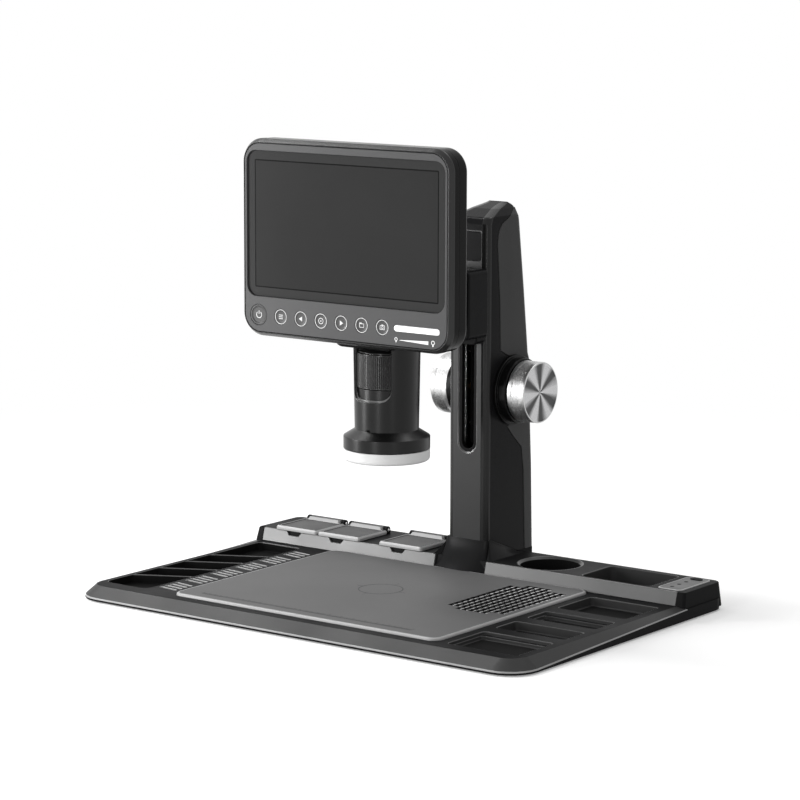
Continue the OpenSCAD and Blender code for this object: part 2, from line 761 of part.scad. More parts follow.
// The space that the deck and the column fill, kept clear of the skirt
module deck_front_block() {
    sideways(-side_x, side_x) polygon([[deck_y + trim_t, rim_z - 1], [deck_y + trim_t, rim_z],
        [deck_y + trim_t + deck_lean, deck_z], [rear_y, deck_z], [rear_y, rim_z - 1]]);
}
// Side outline of the column about its front face and the deck, with a sloping top
function side_profile() = concat([[0, 0], [0, front_top], [2, front_top + 4.5],
    [rear_top, front_top + 4.5 + top_rise], [rear_top + 3.2, col_h - 3.4]],
    [for (i = [len(REAR) - 1 : -1 : 0]) [REAR[i][1] * col_d, REAR[i][0] * col_h]]);
module column_outer(gap) {
    w = half_col + gap;
    intersection() {
        translate([0, col_y, deck_z]) sideways(-w, w) grown_profile(gap);
        translate([0, col_y + col_d / 2, deck_z - 1]) linear_extrude(col_h + 2)
            plan(2 * w, col_d + 2 * gap + 4, 4, 6);
        facing(col_y - 5, col_y + col_d + 5) translate([0, deck_z + front_top + facet_up + gap])
            polygon([[-w - 3, -col_h - 20], [w + 3, -col_h - 20], [w + 3, -3 * tan(facet_slope)],
                [0, w * tan(facet_slope)], [-w - 3, -3 * tan(facet_slope)]]);
    }
}
module grown_profile(gap) {
    polygon([for (p = side_profile()) [p[0] <= 0 ? p[0] - gap : p[0] + gap, p[1]]]);
}
// The part of the side view that the front shell takes: share of height and depth in from the front
SEAM = [[0, 48.6], [0.23, 46.2], [0.297, 43.4], [0.338, 31.8], [0.387, 20.3], [0.417, 16.5], [0.584, 16.3],
    [0.728, 14.8], [0.841, 12.5], [0.883, 11.4], [0.911, 12.3], [0.927, 14.1], [0.94, 17.1], [0.956, 26.5],
    [1.016, 60]];
module seam_region(gap) {
    translate([gap, 0]) polygon(concat([[-9, -9], [SEAM[0][1], -9]], [for (p = SEAM) [p[1], p[0] * col_h]],
        [[60, col_h + 9], [-9, col_h + 9]]));
    intersection() {
        translate([drive_v, drive_h]) circle(boss_r + gap);
        translate([0, drive_h - col_d]) square([drive_v + 17, 2 * col_d]);
    }
}
module column_cavity() {
    w = col_wall;
    translate([0, col_y, deck_z]) sideways(-inner_x, inner_x) polygon(concat(
        [[w, foot_block], [w, front_top - 3]], [[8, front_top + 3], [rear_top - 4, col_h - 10]],
        [for (i = [len(REAR) - 1 : -1 : 1]) [REAR[i][1] * col_d - w - 0.4, REAR[i][0] * col_h]],
        [[REAR[0][1] * col_d - w - 0.6, foot_block]]));
}
module slot_shape(w, low, high) {
    translate([0, (low + high) / 2]) square([w, high - low - w], center = true);
    translate([0, low + w / 2]) circle(w / 2);
    translate([-w / 2, high - w / 2 - eps]) square([w, w / 2]);
}
module column_body() {
    slot_top = neck_z + neck_h + travel_up + 0.6;
    window_low = car_z + carriage_h + travel_up + 1;
    window_top = deck_z + front_top - 1;
    color("#232325") difference() {
        union() {
            difference() {
                intersection() {
                    column_outer(0);
                    translate([0, col_y, deck_z]) sideways(-half_col, half_col) seam_region(0);
                }
                column_cavity();
                facing(col_y - 1, col_y + 1) slot_shape(slot_w + 5.6, deck_z + slot_low - 2.9, slot_top + 1);
                facing(col_y - 1, col_y + col_wall + 1) slot_shape(slot_w, deck_z + slot_low, slot_top);
                facing(col_y - 1, col_y + 1.2)
                    translate([0, (window_low + window_top) / 2])
                        square([col_w - 7, window_top - window_low], center = true);
            }
            // Upper seat of the guide rods, and the bosses round the bushings
            span(-inner_x - 0.5, inner_x + 0.5, col_y + 1.6, col_y + rod_v + 1, rod_high, rod_high + 5);
            span(-inner_x + 0.3, inner_x - 0.3, col_y + rod_v, col_y + slider_v1, rod_high, rod_high + 5);
            for (s = [-1, 1]) bar_x(drive_y, drive_z, 9.5, s > 0 ? inner_x - 4 : -inner_x - 0.5,
                s > 0 ? inner_x + 0.5 : -inner_x + 4);
        }
        for (s = [-1, 1]) translate([s * rod_x, col_y + rod_v, rod_low])
            cylinder(r = rod_r + 0.02, h = rod_high - rod_low + 3);
        bar_x(drive_y, drive_z, 6 + 0.02, -half_col - 1, half_col + 1);
        for (b = BOLTS) translate([b[0], col_y + b[1], deck_z - 1]) cylinder(r = 2.6, h = 10.6);
    }
}
module column_cover() {
    color("#3a3a3c") difference() {
        union() {
            difference() {
                column_outer(0.3);
                column_cavity();
                translate([0, col_y, deck_z]) sideways(-col_w, col_w) seam_region(0.25);
                for (s = [-1, 1]) bar_x(drive_y, drive_z, boss_r + 0.3, s > 0 ? half_col - 0.1 : -col_w,
                    s > 0 ? col_w : -half_col + 0.1);
            }
            bar_y(0, lock_z, 8.5, col_y + rear_at(lock_z) - col_wall - 2, col_y + lock_seat_v - 0.3);
        }
        bar_y(0, lock_z, 2.6, col_y + 20, col_y + col_d + 9);
        bar_y(0, lock_z, 5 + 0.02, col_y + 20, col_y + rear_at(lock_z) - 0.6);
    }
}
module column_bolts() {
    color("#8d9095") for (b = BOLTS) translate([b[0], col_y + b[1], 0]) {
        translate([0, 0, cover_z + 1.6]) cylinder(r = 4.3, h = 4.4);
        translate([0, 0, cover_z + 5]) cylinder(r = 2.5, h = deck_z + 9 - cover_z - 5);
    }
}
module guide_rods() {
    color("#c8cacd") for (s = [-1, 1]) translate([s * rod_x, col_y + rod_v, rod_low])
        cylinder(r = rod_r, h = rod_high - rod_low + 2.6);
}
module knob_collars() {
    color("#161617") for (s = [-1, 1]) translate([s * half_col, drive_y, drive_z]) rotate([0, s * 90, 0])
        rotate_extrude() polygon([[6.6, 0.02], [boss_r, 0.02], [boss_r, boss_t - 0.6], [boss_r - 0.6, boss_t],
            [collar_r, boss_t], [collar_r, collar_t - 0.8], [collar_r - 0.8, collar_t],
            [collar_r - 2, collar_t], [collar_r - 2, 2], [6.6, 2]]);
}
module shaft_bushings() {
    color("#b8893a") for (s = [-1, 1]) translate([s * (inner_x - 4), drive_y, drive_z]) rotate([0, s * 90, 0])
        difference() {
            cylinder(r = 6, h = col_wall + 4.4);
            translate([0, 0, -1]) cylinder(r = shaft_r + run, h = col_wall + 8);
        }
}
module knob_shaft() {
    color("#b9bcc0") bar_x(drive_y, drive_z, shaft_r, -knob_out + 4, knob_out - 4);
}
// Teeth as straight-sided wedges that taper from root to tip
module pinion_teeth_2d() {
    difference() {
        union() {
            circle(root_r);
            for (i = [0 : pinion_teeth - 1]) rotate([0, 0, i * 360 / pinion_teeth])
                polygon([[root_r - 0.6, -0.95 * gear_m], [root_r, -0.92 * gear_m], [pitch_r, -0.72 * gear_m],
                    [tip_r, -0.32 * gear_m], [tip_r, 0.32 * gear_m], [pitch_r, 0.72 * gear_m],
                    [root_r, 0.92 * gear_m], [root_r - 0.6, 0.95 * gear_m]]);
        }
        circle(shaft_r + 0.03);
    }
}
module pinion() {
    color("#c2a25a") translate([-4, drive_y, drive_z]) rotate([90, 0, 90])
        linear_extrude(8) pinion_teeth_2d();
}
// Knob profile along its axis, from the hub inside the collar to the dished outer face
module knob() {
    rotate_extrude($fn = 96) polygon([[shaft_r + 0.03, -collar_t + 2.6], [9.5, -collar_t + 2.6], [9.5, 0],
        [knob_r - 0.8, 0], [knob_r, 0.8], [knob_r, knob_t - 1], [knob_r - 1, knob_t],
        [knob_r - 2.4, knob_t], [knob_r - 3.4, knob_t - 0.5], [0, knob_t - 0.5],
        [0, knob_t - 3.8], [shaft_r + 0.03, knob_t - 3.8]]);
}
module knob_left() {
    color("#d5d7da") translate([-knob_in, drive_y, drive_z]) rotate([0, -90, 0]) knob();
}
module knob_right() {
    color("#d5d7da") translate([knob_in, drive_y, drive_z]) rotate([0, 90, 0]) knob();
}
module lock_knob() {
    color("#141415") translate([0, col_y + lock_seat_v, lock_z]) rotate([-90, 0, 0]) {
        rotate_extrude() polygon([[0, 0], [lock_r - 0.5, 0], [lock_r, 0.5], [lock_r, lock_len - 3.5],
            [lock_r - 1, lock_len - 1.6], [lock_r - 3, lock_len - 0.4], [0, lock_len]]);
        translate([0, 0, -13]) cylinder(r = 2.5, h = 13);
    }
}
module lock_nut() {
    color("#b8893a") difference() {
        bar_y(0, lock_z, 5, col_y + rear_at(lock_z) - 5.6, col_y + rear_at(lock_z) - 0.6);
        bar_y(0, lock_z, 2.5 + run, col_y, col_y + col_d);
    }
}

// ---- Carriage and arm ----
module carriage() {
    color("#1e1e20") difference() {
        union() {
            intersection() {
                facing(car_y, col_y - 0.4) translate([0, car_z + carriage_h / 2])
                    rrect(carriage_w, carriage_h, 4);
                sideways(-carriage_w, carriage_w)
                    translate([col_y - 0.4 - carriage_d / 2, car_z + carriage_h / 2])
                    rrect(carriage_d, carriage_h, 2.5);
            }
            facing(col_y - 11, col_y - 0.4) translate([0, car_z + 4]) rrect(carriage_w - 5, 18, 5);
            span(-slot_w / 2 + 0.4, slot_w / 2 - 0.4, col_y - 3, col_y + slider_v0 + 1,
                neck_z, neck_z + neck_h);
            span(-inner_x + 0.4, inner_x - 0.4, col_y + slider_v0, col_y + slider_v1,
                neck_z, neck_z + neck_h);
        }
        for (s = [-1, 1]) translate([s * rod_x, col_y + rod_v, neck_z - 1])
            cylinder(r = rod_r + run, h = neck_h + 2);
    }
}
module gear_rack() {
    pitch = PI * gear_m;
    pitch_y = drive_y - pitch_r;
    low = floor((-travel_up - 9) / pitch);
    high = ceil((travel_down + 9) / pitch);
    color("#c2a25a") sideways(-4, 4) polygon(concat(
        [[col_y + slider_v1, drive_z + high * pitch], [col_y + slider_v1, drive_z + low * pitch]],
        [for (i = [low : high - 1], p = [[-1.25, 0.02], [-1.25, 0.64], [0, 0.85], [1, 1.25], [1, 1.89],
            [0, 2.29], [-1.25, 2.5], [-1.25, 3.12]])
            [pitch_y + p[0] * gear_m, drive_z + i * pitch + p[1] * gear_m]]));
}
module head_arm() {
    color("#1e1e20") difference() {
        facing(head_y, car_y) translate([0, arm_z + arm_h / 2]) rrect(arm_w, arm_h, 5);
        facing(head_y + 3, car_y - 3) translate([0, arm_z + arm_h / 2]) rrect(arm_w - 6, arm_h - 6, 3);
    }
}
module camera_housing() {
    t = 2.4;
    color("#1e1e20") {
        difference() {
            facing(back_y, head_y) translate([0, barrel_z + head_h / 2]) rrect(head_w, head_h, 7);
            facing(back_y + t, head_y - t) translate([0, barrel_z + head_h / 2])
                rrect(head_w - 2 * t, head_h - 2 * t, 5);
            translate([0, axis_y, barrel_z - 1]) cylinder(r = tube_r + 0.3, h = 8);
        }
        for (sx = [-1, 1], sy = [-1, 1]) translate([sx * 15, axis_y + sy * 15, barrel_z + 1])
            cylinder(r = 2, h = 21);
    }
}
module camera_board() {
    color("#1f5b35") translate([0, axis_y, barrel_z + 22]) {
        linear_extrude(1.6) square(36, center = true);
        translate([0, 0, -1.5]) linear_extrude(1.6) square([14, 12], center = true);
    }
}

// ---- Optical barrel ----
module barrel_sleeve() {
    span_z = barrel_len;
    w = barrel_wall;
    up = ring_z - sleeve_z;
    color("#18181a") difference() {
        translate([0, axis_y, sleeve_z]) rotate_extrude() polygon([[barrel_low_r - w, 0], [barrel_low_r, 0],
            [barrel_r, span_z], [shelf_in, span_z], [shelf_in, up + ring_h + 0.3],
            [barrel_r - w - 0.3, up + ring_h + 0.3], [barrel_r - w - 0.6, up - 0.3],
            [shelf_in, up - 0.3], [shelf_in, up - 0.3 - shelf_t - 4], [barrel_low_r - w, up - 8 - shelf_t]]);
        facing(axis_y - barrel_r - 1, axis_y - tube_r + 4)
            translate([0, ring_z + ring_h / 2 + 0.2]) rrect(32.6, ring_h + 1, 0.4);
        facing(axis_y - barrel_r - 1, axis_y - ring_r + 1.2)
            translate([0, ring_z + ring_h / 2 - 3]) rrect(32.6, ring_h + 9, 8);
    }
}
module focus_ring() {
    color("#2a2a2c") translate([0, axis_y, ring_z]) difference() {
        cylinder(r = ring_r, h = ring_h, $fn = 96);
        translate([0, 0, -1]) cylinder(r = tube_r + run, h = ring_h + 2);
    }
}
module lens_tube() {
    color("#2f2f31") translate([0, axis_y, tube_z]) rotate_extrude() polygon([[lens_r - 2, 0], [tube_r, 0],
        [tube_r, barrel_z + 18 - tube_z - lens_travel], [tube_r - 2.4, barrel_z + 18 - tube_z - lens_travel],
        [tube_r - 2.4, 2], [lens_r - 2, 2]]);
}
module objective_lens() {
    color([0.75, 0.85, 0.95, 0.5]) translate([0, axis_y, tube_z + 2]) rotate_extrude() polygon(concat(
        [[0, 0], [lens_r + 0.1, 0], [lens_r + 0.1, 3]],
        [for (i = [1 : 8]) [(lens_r + 0.1) * (1 - i / 8), 3 + 2.4 * (1 - pow(1 - i / 8, 2))]]));
}
module light_flange() {
    total = flange_h + flange_cone;
    color("#18181a") translate([0, axis_y, flange_z]) rotate_extrude() polygon([
        [13, 3.6], [flange_r - 2, 3.6],
        [flange_r - 2, 0], [flange_r, 0], [flange_r, flange_h], [barrel_low_r, total],
        [barrel_low_r - barrel_wall - 0.1, total], [barrel_low_r - barrel_wall - 0.1, total + 4],
        [barrel_low_r - barrel_wall - 1.8, total + 4], [13, total - 6]]);
}
module led_board() {
    ring_mid = (13.4 + flange_r - 2.2) / 2;
    color("#e9e9e2") translate([0, axis_y, flange_z + 2]) {
        difference() {
            cylinder(r = flange_r - 2.2, h = 1.6);
            translate([0, 0, -1]) cylinder(r = 13.4, h = 4);
        }
        for (i = [0 : led_count - 1]) rotate([0, 0, i * 360 / led_count]) translate([ring_mid, 0, -0.8])
            cylinder(r = 1.5, h = 1);
    }
}
module light_diffuser() {
    r = flange_r - 0.4;
    color("#f4f4f2") translate([0, axis_y, flange_z - diffuser_h]) rotate_extrude() polygon([[14, 0],
        [r - 1.5, 0], [r, 1.5], [r, diffuser_h], [r - 2.5, diffuser_h], [r - 2.5, 2], [16, 2],
        [16, diffuser_h], [14, diffuser_h]]);
}

// ---- Display ----
module disp_outline(less) {
    translate([0, disp_mid]) rrect(disp_w - 2 * less, disp_h - 2 * less, disp_r - less);
}
module at_keys() {
    for (i = [0 : len(KEYS) - 1]) translate([key_first + i * key_pitch, 0, key_z]) children();
}
module round_key(r) {
    rotate([-90, 0, 0]) {
        translate([0, 0, disp_y + 0.2]) cylinder(r = r, h = face_t + 0.3);
        translate([0, 0, disp_y + face_t + 0.3]) cylinder(r = r + key_flange, h = flange_t);
    }
}
module key_hole(r) {
    rotate([-90, 0, 0]) translate([0, 0, disp_y - 1]) cylinder(r = r + fit, h = face_t + 2);
}
module display_bezel() {
    color("#6b6b6b") {
        difference() {
            hull() {
                facing(disp_y, disp_y + 0.3) disp_outline(1.4, $fn = hull_fn);
                facing(disp_y + 1.4, seam_y) disp_outline(0, $fn = hull_fn);
            }
            facing(disp_y - 1, glass_y + glass_t) translate([0, window_z])
                rrect(window_w, window_h, window_r);
            facing(disp_y - 1, seam_y + 1) translate([0, window_z])
                rrect(window_w - 2 * glass_ledge, window_h - 2 * glass_ledge, 1.5);
            facing(disp_y + face_t, seam_y + 1) translate([0, disp_z + key_pocket_low + key_pocket_h / 2])
                rrect(disp_w - 6, key_pocket_h, 4);
            at_keys() key_hole(key_r);
            translate([power_x, 0, key_z]) key_hole(power_r);
            facing(disp_y - 1, disp_y + 1) translate([bar_mid, bar_z])
                rrect(bar_l + 0.2, bar_h + 0.2, bar_h / 2);
            for (s = SCREWS) bar_y(s[0], s[1], screw_r + run, disp_y + face_t + 1, seam_y + 1);
        }
        for (s = SCREWS) if (s[1] < window_z) difference() {
            bar_y(s[0], s[1], screw_head_r, disp_y + face_t - 0.2, seam_y);
            bar_y(s[0], s[1], screw_r + run, disp_y + face_t + 1, seam_y + 1);
        }
    }
}
module display_shell() {
    color("#1d1d1f") {
        difference() {
            hull() {
                facing(seam_y, seam_y + 6) disp_outline(0.6, $fn = hull_fn);
                facing(back_y - 0.3, back_y) disp_outline(back_inset, $fn = hull_fn);
            }
            facing(seam_y - 1, back_y - shell_back) disp_outline(shell_inset);
            for (s = SCREWS) {
                bar_y(s[0], s[1], screw_r + run, seam_y - 1, back_y + 1);
                bar_y(s[0], s[1], screw_head_r + run, seam_y + 8, back_y + 1);
            }
        }
    }
}
module screen_window() {
    color([0.3, 0.3, 0.32, 0.6]) facing(glass_y, glass_y + glass_t)
        translate([0, window_z]) rrect(window_w - 2 * fit, window_h - 2 * fit, window_r - fit);
}
module lcd_panel() {
    color("#3f3f41") facing(lcd_y, lcd_y + lcd_t) translate([0, window_z])
        square([lcd_w + 2 * panel_rim, lcd_h + 2 * panel_rim], center = true);
}
module main_board() {
    color("#1f5b35") {
        facing(board_y, board_y + 1.6) translate([0, disp_z + board_low + board_h / 2])
            square([disp_w - 2 * board_side, board_h], center = true);
        for (x = concat([power_x], [for (i = [0 : len(KEYS) - 1]) key_first + i * key_pitch]))
            bar_y(x, key_z, 1.8, disp_y + face_t + 0.3 + flange_t + key_travel + 0.1, board_y);
        facing(board_y, board_y + 1.6) translate([power_x + 3, key_z]) square([12, 8], center = true);
    }
}
module battery() {
    color("#5a6a8a") facing(back_y - shell_back - battery_t, back_y - shell_back)
        translate([0, disp_z + (battery_low + battery_top) / 2])
            rrect(disp_w - 2 * battery_side, battery_top - battery_low, 3);
}
module light_bar() {
    color("#f2f2f0") facing(disp_y, disp_y + 1) translate([bar_mid, bar_z])
        rrect(bar_l, bar_h, bar_h / 2 - eps);
}
module power_button() {
    color("#333335") translate([power_x, 0, key_z]) round_key(power_r);
}
module key(i) {
    color("#4a4a4c") translate([key_first + i * key_pitch, 0, key_z]) round_key(key_r);
}
module display_screws() {
    color("#8d9095") for (s = SCREWS) {
        bar_y(s[0], s[1], screw_r, disp_y + face_t + 2, back_y - 2);
        bar_y(s[0], s[1], screw_head_r, seam_y + 8, seam_y + 10);
    }
}

base_shell();
base_cover();
base_feet();
base_screws();
ballast_plate();
charging_coil();
work_pad();
deck_trim_left();
deck_trim_right();
for (i = [0 : len(LIDS) - 1]) lid(LID_X[i]);
lid_pins();
control_plate();
status_lights();
base_button();
control_board();
power_inlet();
foot_skirt();
column_body();
column_cover();
column_bolts();
guide_rods();
knob_collars();
shaft_bushings();
knob_shaft();
pinion();
knob_left();
knob_right();
lock_knob();
lock_nut();
carriage();
gear_rack();
head_arm();
camera_housing();
camera_board();
barrel_sleeve();
focus_ring();
lens_tube();
objective_lens();
light_flange();
led_board();
light_diffuser();
display_bezel();
display_shell();
screen_window();
lcd_panel();
main_board();
battery();
light_bar();
power_button();
for (i = [0 : len(KEYS) - 1]) key(i);
display_screws();
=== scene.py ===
import json
from math import cos, pi, radians, sin, tan

import bmesh
import bpy
import numpy as np
from bpy.props import FloatProperty, FloatVectorProperty, IntProperty, PointerProperty
from mathutils import Matrix, Vector
from mathutils.geometry import tessellate_polygon


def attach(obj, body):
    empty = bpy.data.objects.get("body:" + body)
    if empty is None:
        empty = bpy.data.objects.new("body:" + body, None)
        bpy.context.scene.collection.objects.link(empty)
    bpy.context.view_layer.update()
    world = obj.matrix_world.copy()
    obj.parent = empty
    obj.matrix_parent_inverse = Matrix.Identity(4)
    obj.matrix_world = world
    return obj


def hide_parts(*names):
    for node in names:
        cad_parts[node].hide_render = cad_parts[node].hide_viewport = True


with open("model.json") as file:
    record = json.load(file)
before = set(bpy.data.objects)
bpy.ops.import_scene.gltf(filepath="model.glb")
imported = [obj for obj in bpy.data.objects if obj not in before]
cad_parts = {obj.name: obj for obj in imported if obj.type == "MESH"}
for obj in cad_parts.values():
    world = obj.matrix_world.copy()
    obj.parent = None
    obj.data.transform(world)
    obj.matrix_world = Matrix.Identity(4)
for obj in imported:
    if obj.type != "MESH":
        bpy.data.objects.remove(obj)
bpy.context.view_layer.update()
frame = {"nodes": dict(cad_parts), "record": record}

bl_info = {
    "name": "Desk Microscope With Screen",
    "version": (1, 0, 0),
    "blender": (4, 5, 0),
    "location": "3D View > Sidebar > Microscope",
    "description": "Builds the dressed surfaces, materials, camera and light of a desk microscope",
    "category": "Object",
}

# A millimetre in metres
MM = 0.001

# Which way a shape's own axes turn when it is put on a side of the object (columns are x, y, z)
UP = np.eye(3)
FRONT = np.array([[1.0, 0, 0], [0, 0, -1], [0, 1, 0]])
REAR = np.array([[-1.0, 0, 0], [0, 0, 1], [0, 1, 0]])
RIGHT = np.array([[0.0, 0, 1], [1, 0, 0], [0, 1, 0]])
LEFT = np.array([[0.0, 0, -1], [-1, 0, 0], [0, 1, 0]])

# Levels and lines that several pieces share, in millimetres
FRONT_Y, REAR_Y, DECK_Y = -138.045, 115.453, 62.203
UNDER_Z, RIM_Z, DECK_Z, SIDE_X = 0.8, 10.2, 19.6, 190.5
COL_Y, DRIVE_Y, DRIVE_Z, AXIS_Y = 71.453, 104.453, 138.8, -23.547
DECK_LEAN = 2.4 / 9.4
LID_X, LID_FRONT = (-151.3, -111.3, -54.5), 64.0
HINGE_Y, HINGE_Z, LOCK_Y, LOCK_Z = 102.4, 22.45, 127.05, 166.6
FACE_Y, SEAM_Y, BACK_Y, DISPLAY_Z = -72.047, -63.047, -50.547, 257.7


def size_field(name, description, default, low, high):
    """A size in metres with its limits."""
    return FloatProperty(name=name, description=description, default=default, min=low, max=high,
                         unit="LENGTH", precision=5)


def colour_field(name, description, default):
    """A base colour."""
    return FloatVectorProperty(name=name, description=description, default=default,
                               subtype="COLOR", min=0, max=1)


class MicroscopeSizes(bpy.types.PropertyGroup):
    """Small sizes of the finish, in metres."""
    edge: size_field("Edge rounding", "Rounding of the deck's upper edge", 0.0008, 0.0002, 0.001)
    rim: size_field("Pad rounding", "Rounding of the work pad's edge", 0.0016, 0.0008, 0.0022)
    knurl: size_field("Knurl depth", "Depth of the knurling on knobs and ring", 0.0003, 0.0001, 0.0005)
    # The bright sectors are painted sheen on the turned face
    sectors: IntProperty(name="Turned sectors", description="Bright sectors on a focus knob's face",
                         default=6, min=3, max=12)


class MicroscopeColours(bpy.types.PropertyGroup):
    """Base colours of the main finishes."""
    base: colour_field("Base", "Textured black of the base", (0.008, 0.008, 0.0085))
    pad: colour_field("Pad", "Grey of the work pad", (0.084, 0.084, 0.084))
    column: colour_field("Column", "Satin paint of the column", (0.008, 0.008, 0.0085))
    bezel: colour_field("Bezel", "Satin grey round the screen", (0.062, 0.062, 0.063))
    metal: colour_field("Knobs", "Turned aluminium of the focus knobs", (0.82, 0.82, 0.83))


# ---- Outlines and surfaces ----
def unit(v):
    """Each vector divided by its length; a zero vector stays zero."""
    return v / np.maximum(np.linalg.norm(v, axis=-1, keepdims=True), 1e-9)


def rounded(points, radii, segs=5):
    """A polygon whose corners are arcs, and its outward normals. Each arc starts radius / tan(half the
    corner's angle) from the corner, with its centre on the corner's bisector."""
    p = np.asarray(points, float)
    r = np.broadcast_to(np.asarray(radii, float), len(p))
    a, b = unit(np.roll(p, 1, 0) - p), unit(np.roll(p, -1, 0) - p)
    half = 0.5 * np.arccos(np.clip((a * b).sum(1), -1, 1))
    centre = p + unit(a + b) * (r / np.sin(half))[:, None]
    away = (r / np.tan(half))[:, None]
    s, e = p + a * away - centre, p + b * away - centre
    first = np.arctan2(s[:, 1], s[:, 0])
    turn = (np.arctan2(e[:, 1], e[:, 0]) - first + pi) % (2 * pi) - pi
    angle = first[:, None] + turn[:, None] * np.linspace(0, 1, segs + 1)
    rim = np.stack([np.cos(angle), np.sin(angle)], -1)
    normal = rim * np.where(turn < 0, -1, 1)[:, None, None]
    return (centre[:, None] + r[:, None, None] * rim).reshape(-1, 2), normal.reshape(-1, 2)


def box_ring(w, d, r, at=(0, 0), segs=5):
    """A rounded rectangle as a function of an outward offset, which also widens its corner arcs."""
    def ring(o=0.0):
        x, y = w / 2 + o, d / 2 + o
        corners = np.array([[-x, -y], [x, -y], [x, y], [-x, y]]) + at
        return rounded(corners, np.clip(np.add(r, o), 0.02, min(x, y) - 0.01), segs)[0]
    return ring


def shape_ring(points, radii, segs=4):
    """Any rounded polygon as a function of an outward offset along its normals."""
    rim, normal = rounded(points, radii, segs)
    return lambda o=0.0: rim + normal * o


def disc_ring(r, at=(0, 0), n=64):
    """A circle about a point as a function of an outward offset."""
    t = np.arange(n) * 2 * pi / n
    rim = np.stack([np.cos(t), np.sin(t)], -1)
    return lambda o=0.0: rim * max(r + o, 0.0) + at


def loft(ring, profile):
    """Rows of one surface: row j is the ring at the profile's offset j, lifted to its height j."""
    rows = [np.column_stack([ring(o), np.full(len(ring(o)), z)]) for o, z in profile]
    return np.stack(rows)


def bend(points, r, segs=3):
    """An open profile whose inner corners are arcs of radius r, or of one radius each."""
    p = np.asarray(points, float)
    radii = np.zeros(len(p))
    radii[1:-1] = r
    pts = rounded(p, radii, segs)[0].reshape(len(p), segs + 1, 2)
    return np.concatenate([p[:1], pts[1:-1].reshape(-1, 2), p[-1:]])


class Shape:
    """Points and faces of one piece in millimetres, put on a side of the object with face()."""
    def __init__(self):
        self.points, self.faces, self.marks, self.count = [], [], [], 0
        self.face(UP)

    def face(self, turn, at=(0, 0, 0)):
        """Turns and places whatever is added from here on."""
        self.turn, self.at = np.asarray(turn, float), np.asarray(at, float)
        return self

    def add(self, points, faces, mark=0):
        """Points with faces that count from the first of them; the mark picks the faces' finish."""
        self.points.append(points.reshape(-1, 3) @ self.turn.T + self.at)
        self.faces += (np.asarray(faces) + self.count).tolist()
        self.marks += [mark] * len(faces)
        self.count += points.size // 3
        return self

    def grid(self, p, closed=True, mark=0):
        """Quads between neighbouring rows and columns; the columns may close into a ring."""
        rows, cols = p.shape[:2]
        i, j = np.meshgrid(np.arange(rows - 1), np.arange(cols - (not closed)), indexing="ij")
        k = (j + 1) % cols
        quads = np.stack([i * cols + j, i * cols + k, (i + 1) * cols + k, (i + 1) * cols + j], -1)
        self.add(p, quads.reshape(-1, 4), mark)
        return self

    def fill(self, outer, z, holes=(), mark=0, down=False):
        """A flat face at height z inside the outer ring and outside the holes, cut into triangles."""
        loops = [np.column_stack([q, np.full(len(q), z)]) for q in (outer, *holes)]
        flat = np.concatenate(loops)
        tris = np.array(tessellate_polygon([[Vector(c) for c in q.tolist()] for q in loops]))
        a, b, c = (flat[tris[:, k], :2] for k in range(3))
        area = (b[:, 0] - a[:, 0]) * (c[:, 1] - a[:, 1]) - (b[:, 1] - a[:, 1]) * (c[:, 0] - a[:, 0])
        tris = np.where((area > 0)[:, None] != down, tris, tris[:, ::-1])
        self.add(flat, tris[np.abs(area) > 1e-9], mark)
        return self

    def solid(self, ring, profile, mark=0, top=None):
        """A closed form: a cap facing down, the lofted wall, and a cap facing up."""
        self.fill(ring(profile[0][0]), profile[0][1], down=True, mark=mark)
        self.grid(loft(ring, profile), mark=mark)
        return self.fill(ring(profile[-1][0]), profile[-1][1], mark=mark if top is None else top)

    def pocket(self, ring, top, floor, edge=0.5, foot=0.8, marks=(0, 0, 0), open_floor=False):
        """A hollow: over a rounded edge, down the wall and round a fillet to its floor, with a mark for
        each of the three. Gives the ring in the surface round it, which is that surface's hole."""
        profile = bend([(edge, top), (0, top), (0, floor), (-foot - 0.3, floor)], [edge * 0.98, foot])
        rows = loft(ring, profile)
        self.grid(rows[:5], mark=marks[0]).grid(rows[4:], mark=marks[1])
        if not open_floor:
            self.fill(ring(-foot - 0.3), floor, mark=marks[2])
        return ring(edge)

    def lathe(self, profile, n=64, mark=0, wave=None):
        """A profile of (radius, height) turned about the axis; wave adds to each radius by angle."""
        prof = np.asarray(profile, float)
        t = np.arange(n) * 2 * pi / n
        r = prof[:, :1] + (0 * t[None] if wave is None else wave(t[None], prof[:, 1:]))
        z = np.broadcast_to(prof[:, 1:], r.shape)
        return self.grid(np.stack([r * np.cos(t), r * np.sin(t), z], -1), mark=mark)


def piece(name, shape, finishes, body, slot="", sharp=32):
    """Makes the object in metres: near points are joined, faces shaded smooth up to the sharp angle,
    and flat faces kept flat by weighting the shading normals with face area. With a body, the object
    rides on it and replaces the frame's part of its own name. The slot argument is not used."""
    finishes = [finishes] if isinstance(finishes, str) else finishes
    mesh = bpy.data.meshes.new(name)
    mesh.from_pydata((np.concatenate(shape.points) * MM).tolist(), [], shape.faces)
    mesh.polygons.foreach_set("material_index", shape.marks)
    work = bmesh.new()
    work.from_mesh(mesh)
    bmesh.ops.remove_doubles(work, verts=work.verts, dist=2e-6)
    bmesh.ops.dissolve_degenerate(work, edges=work.edges, dist=1e-7)
    work.to_mesh(mesh)
    work.free()
    mesh.shade_smooth()
    mesh.set_sharp_from_angle(angle=radians(sharp))
    for finish in finishes:
        mesh.materials.append(material(finish))
    obj = bpy.data.objects.new(name, mesh)
    bpy.context.scene.collection.objects.link(obj)
    even = obj.modifiers.new("Even shading", "WEIGHTED_NORMAL")
    even.keep_sharp = True
    if body:
        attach(obj, body)
        slot or finishes[0]
        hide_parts(name)
    return obj


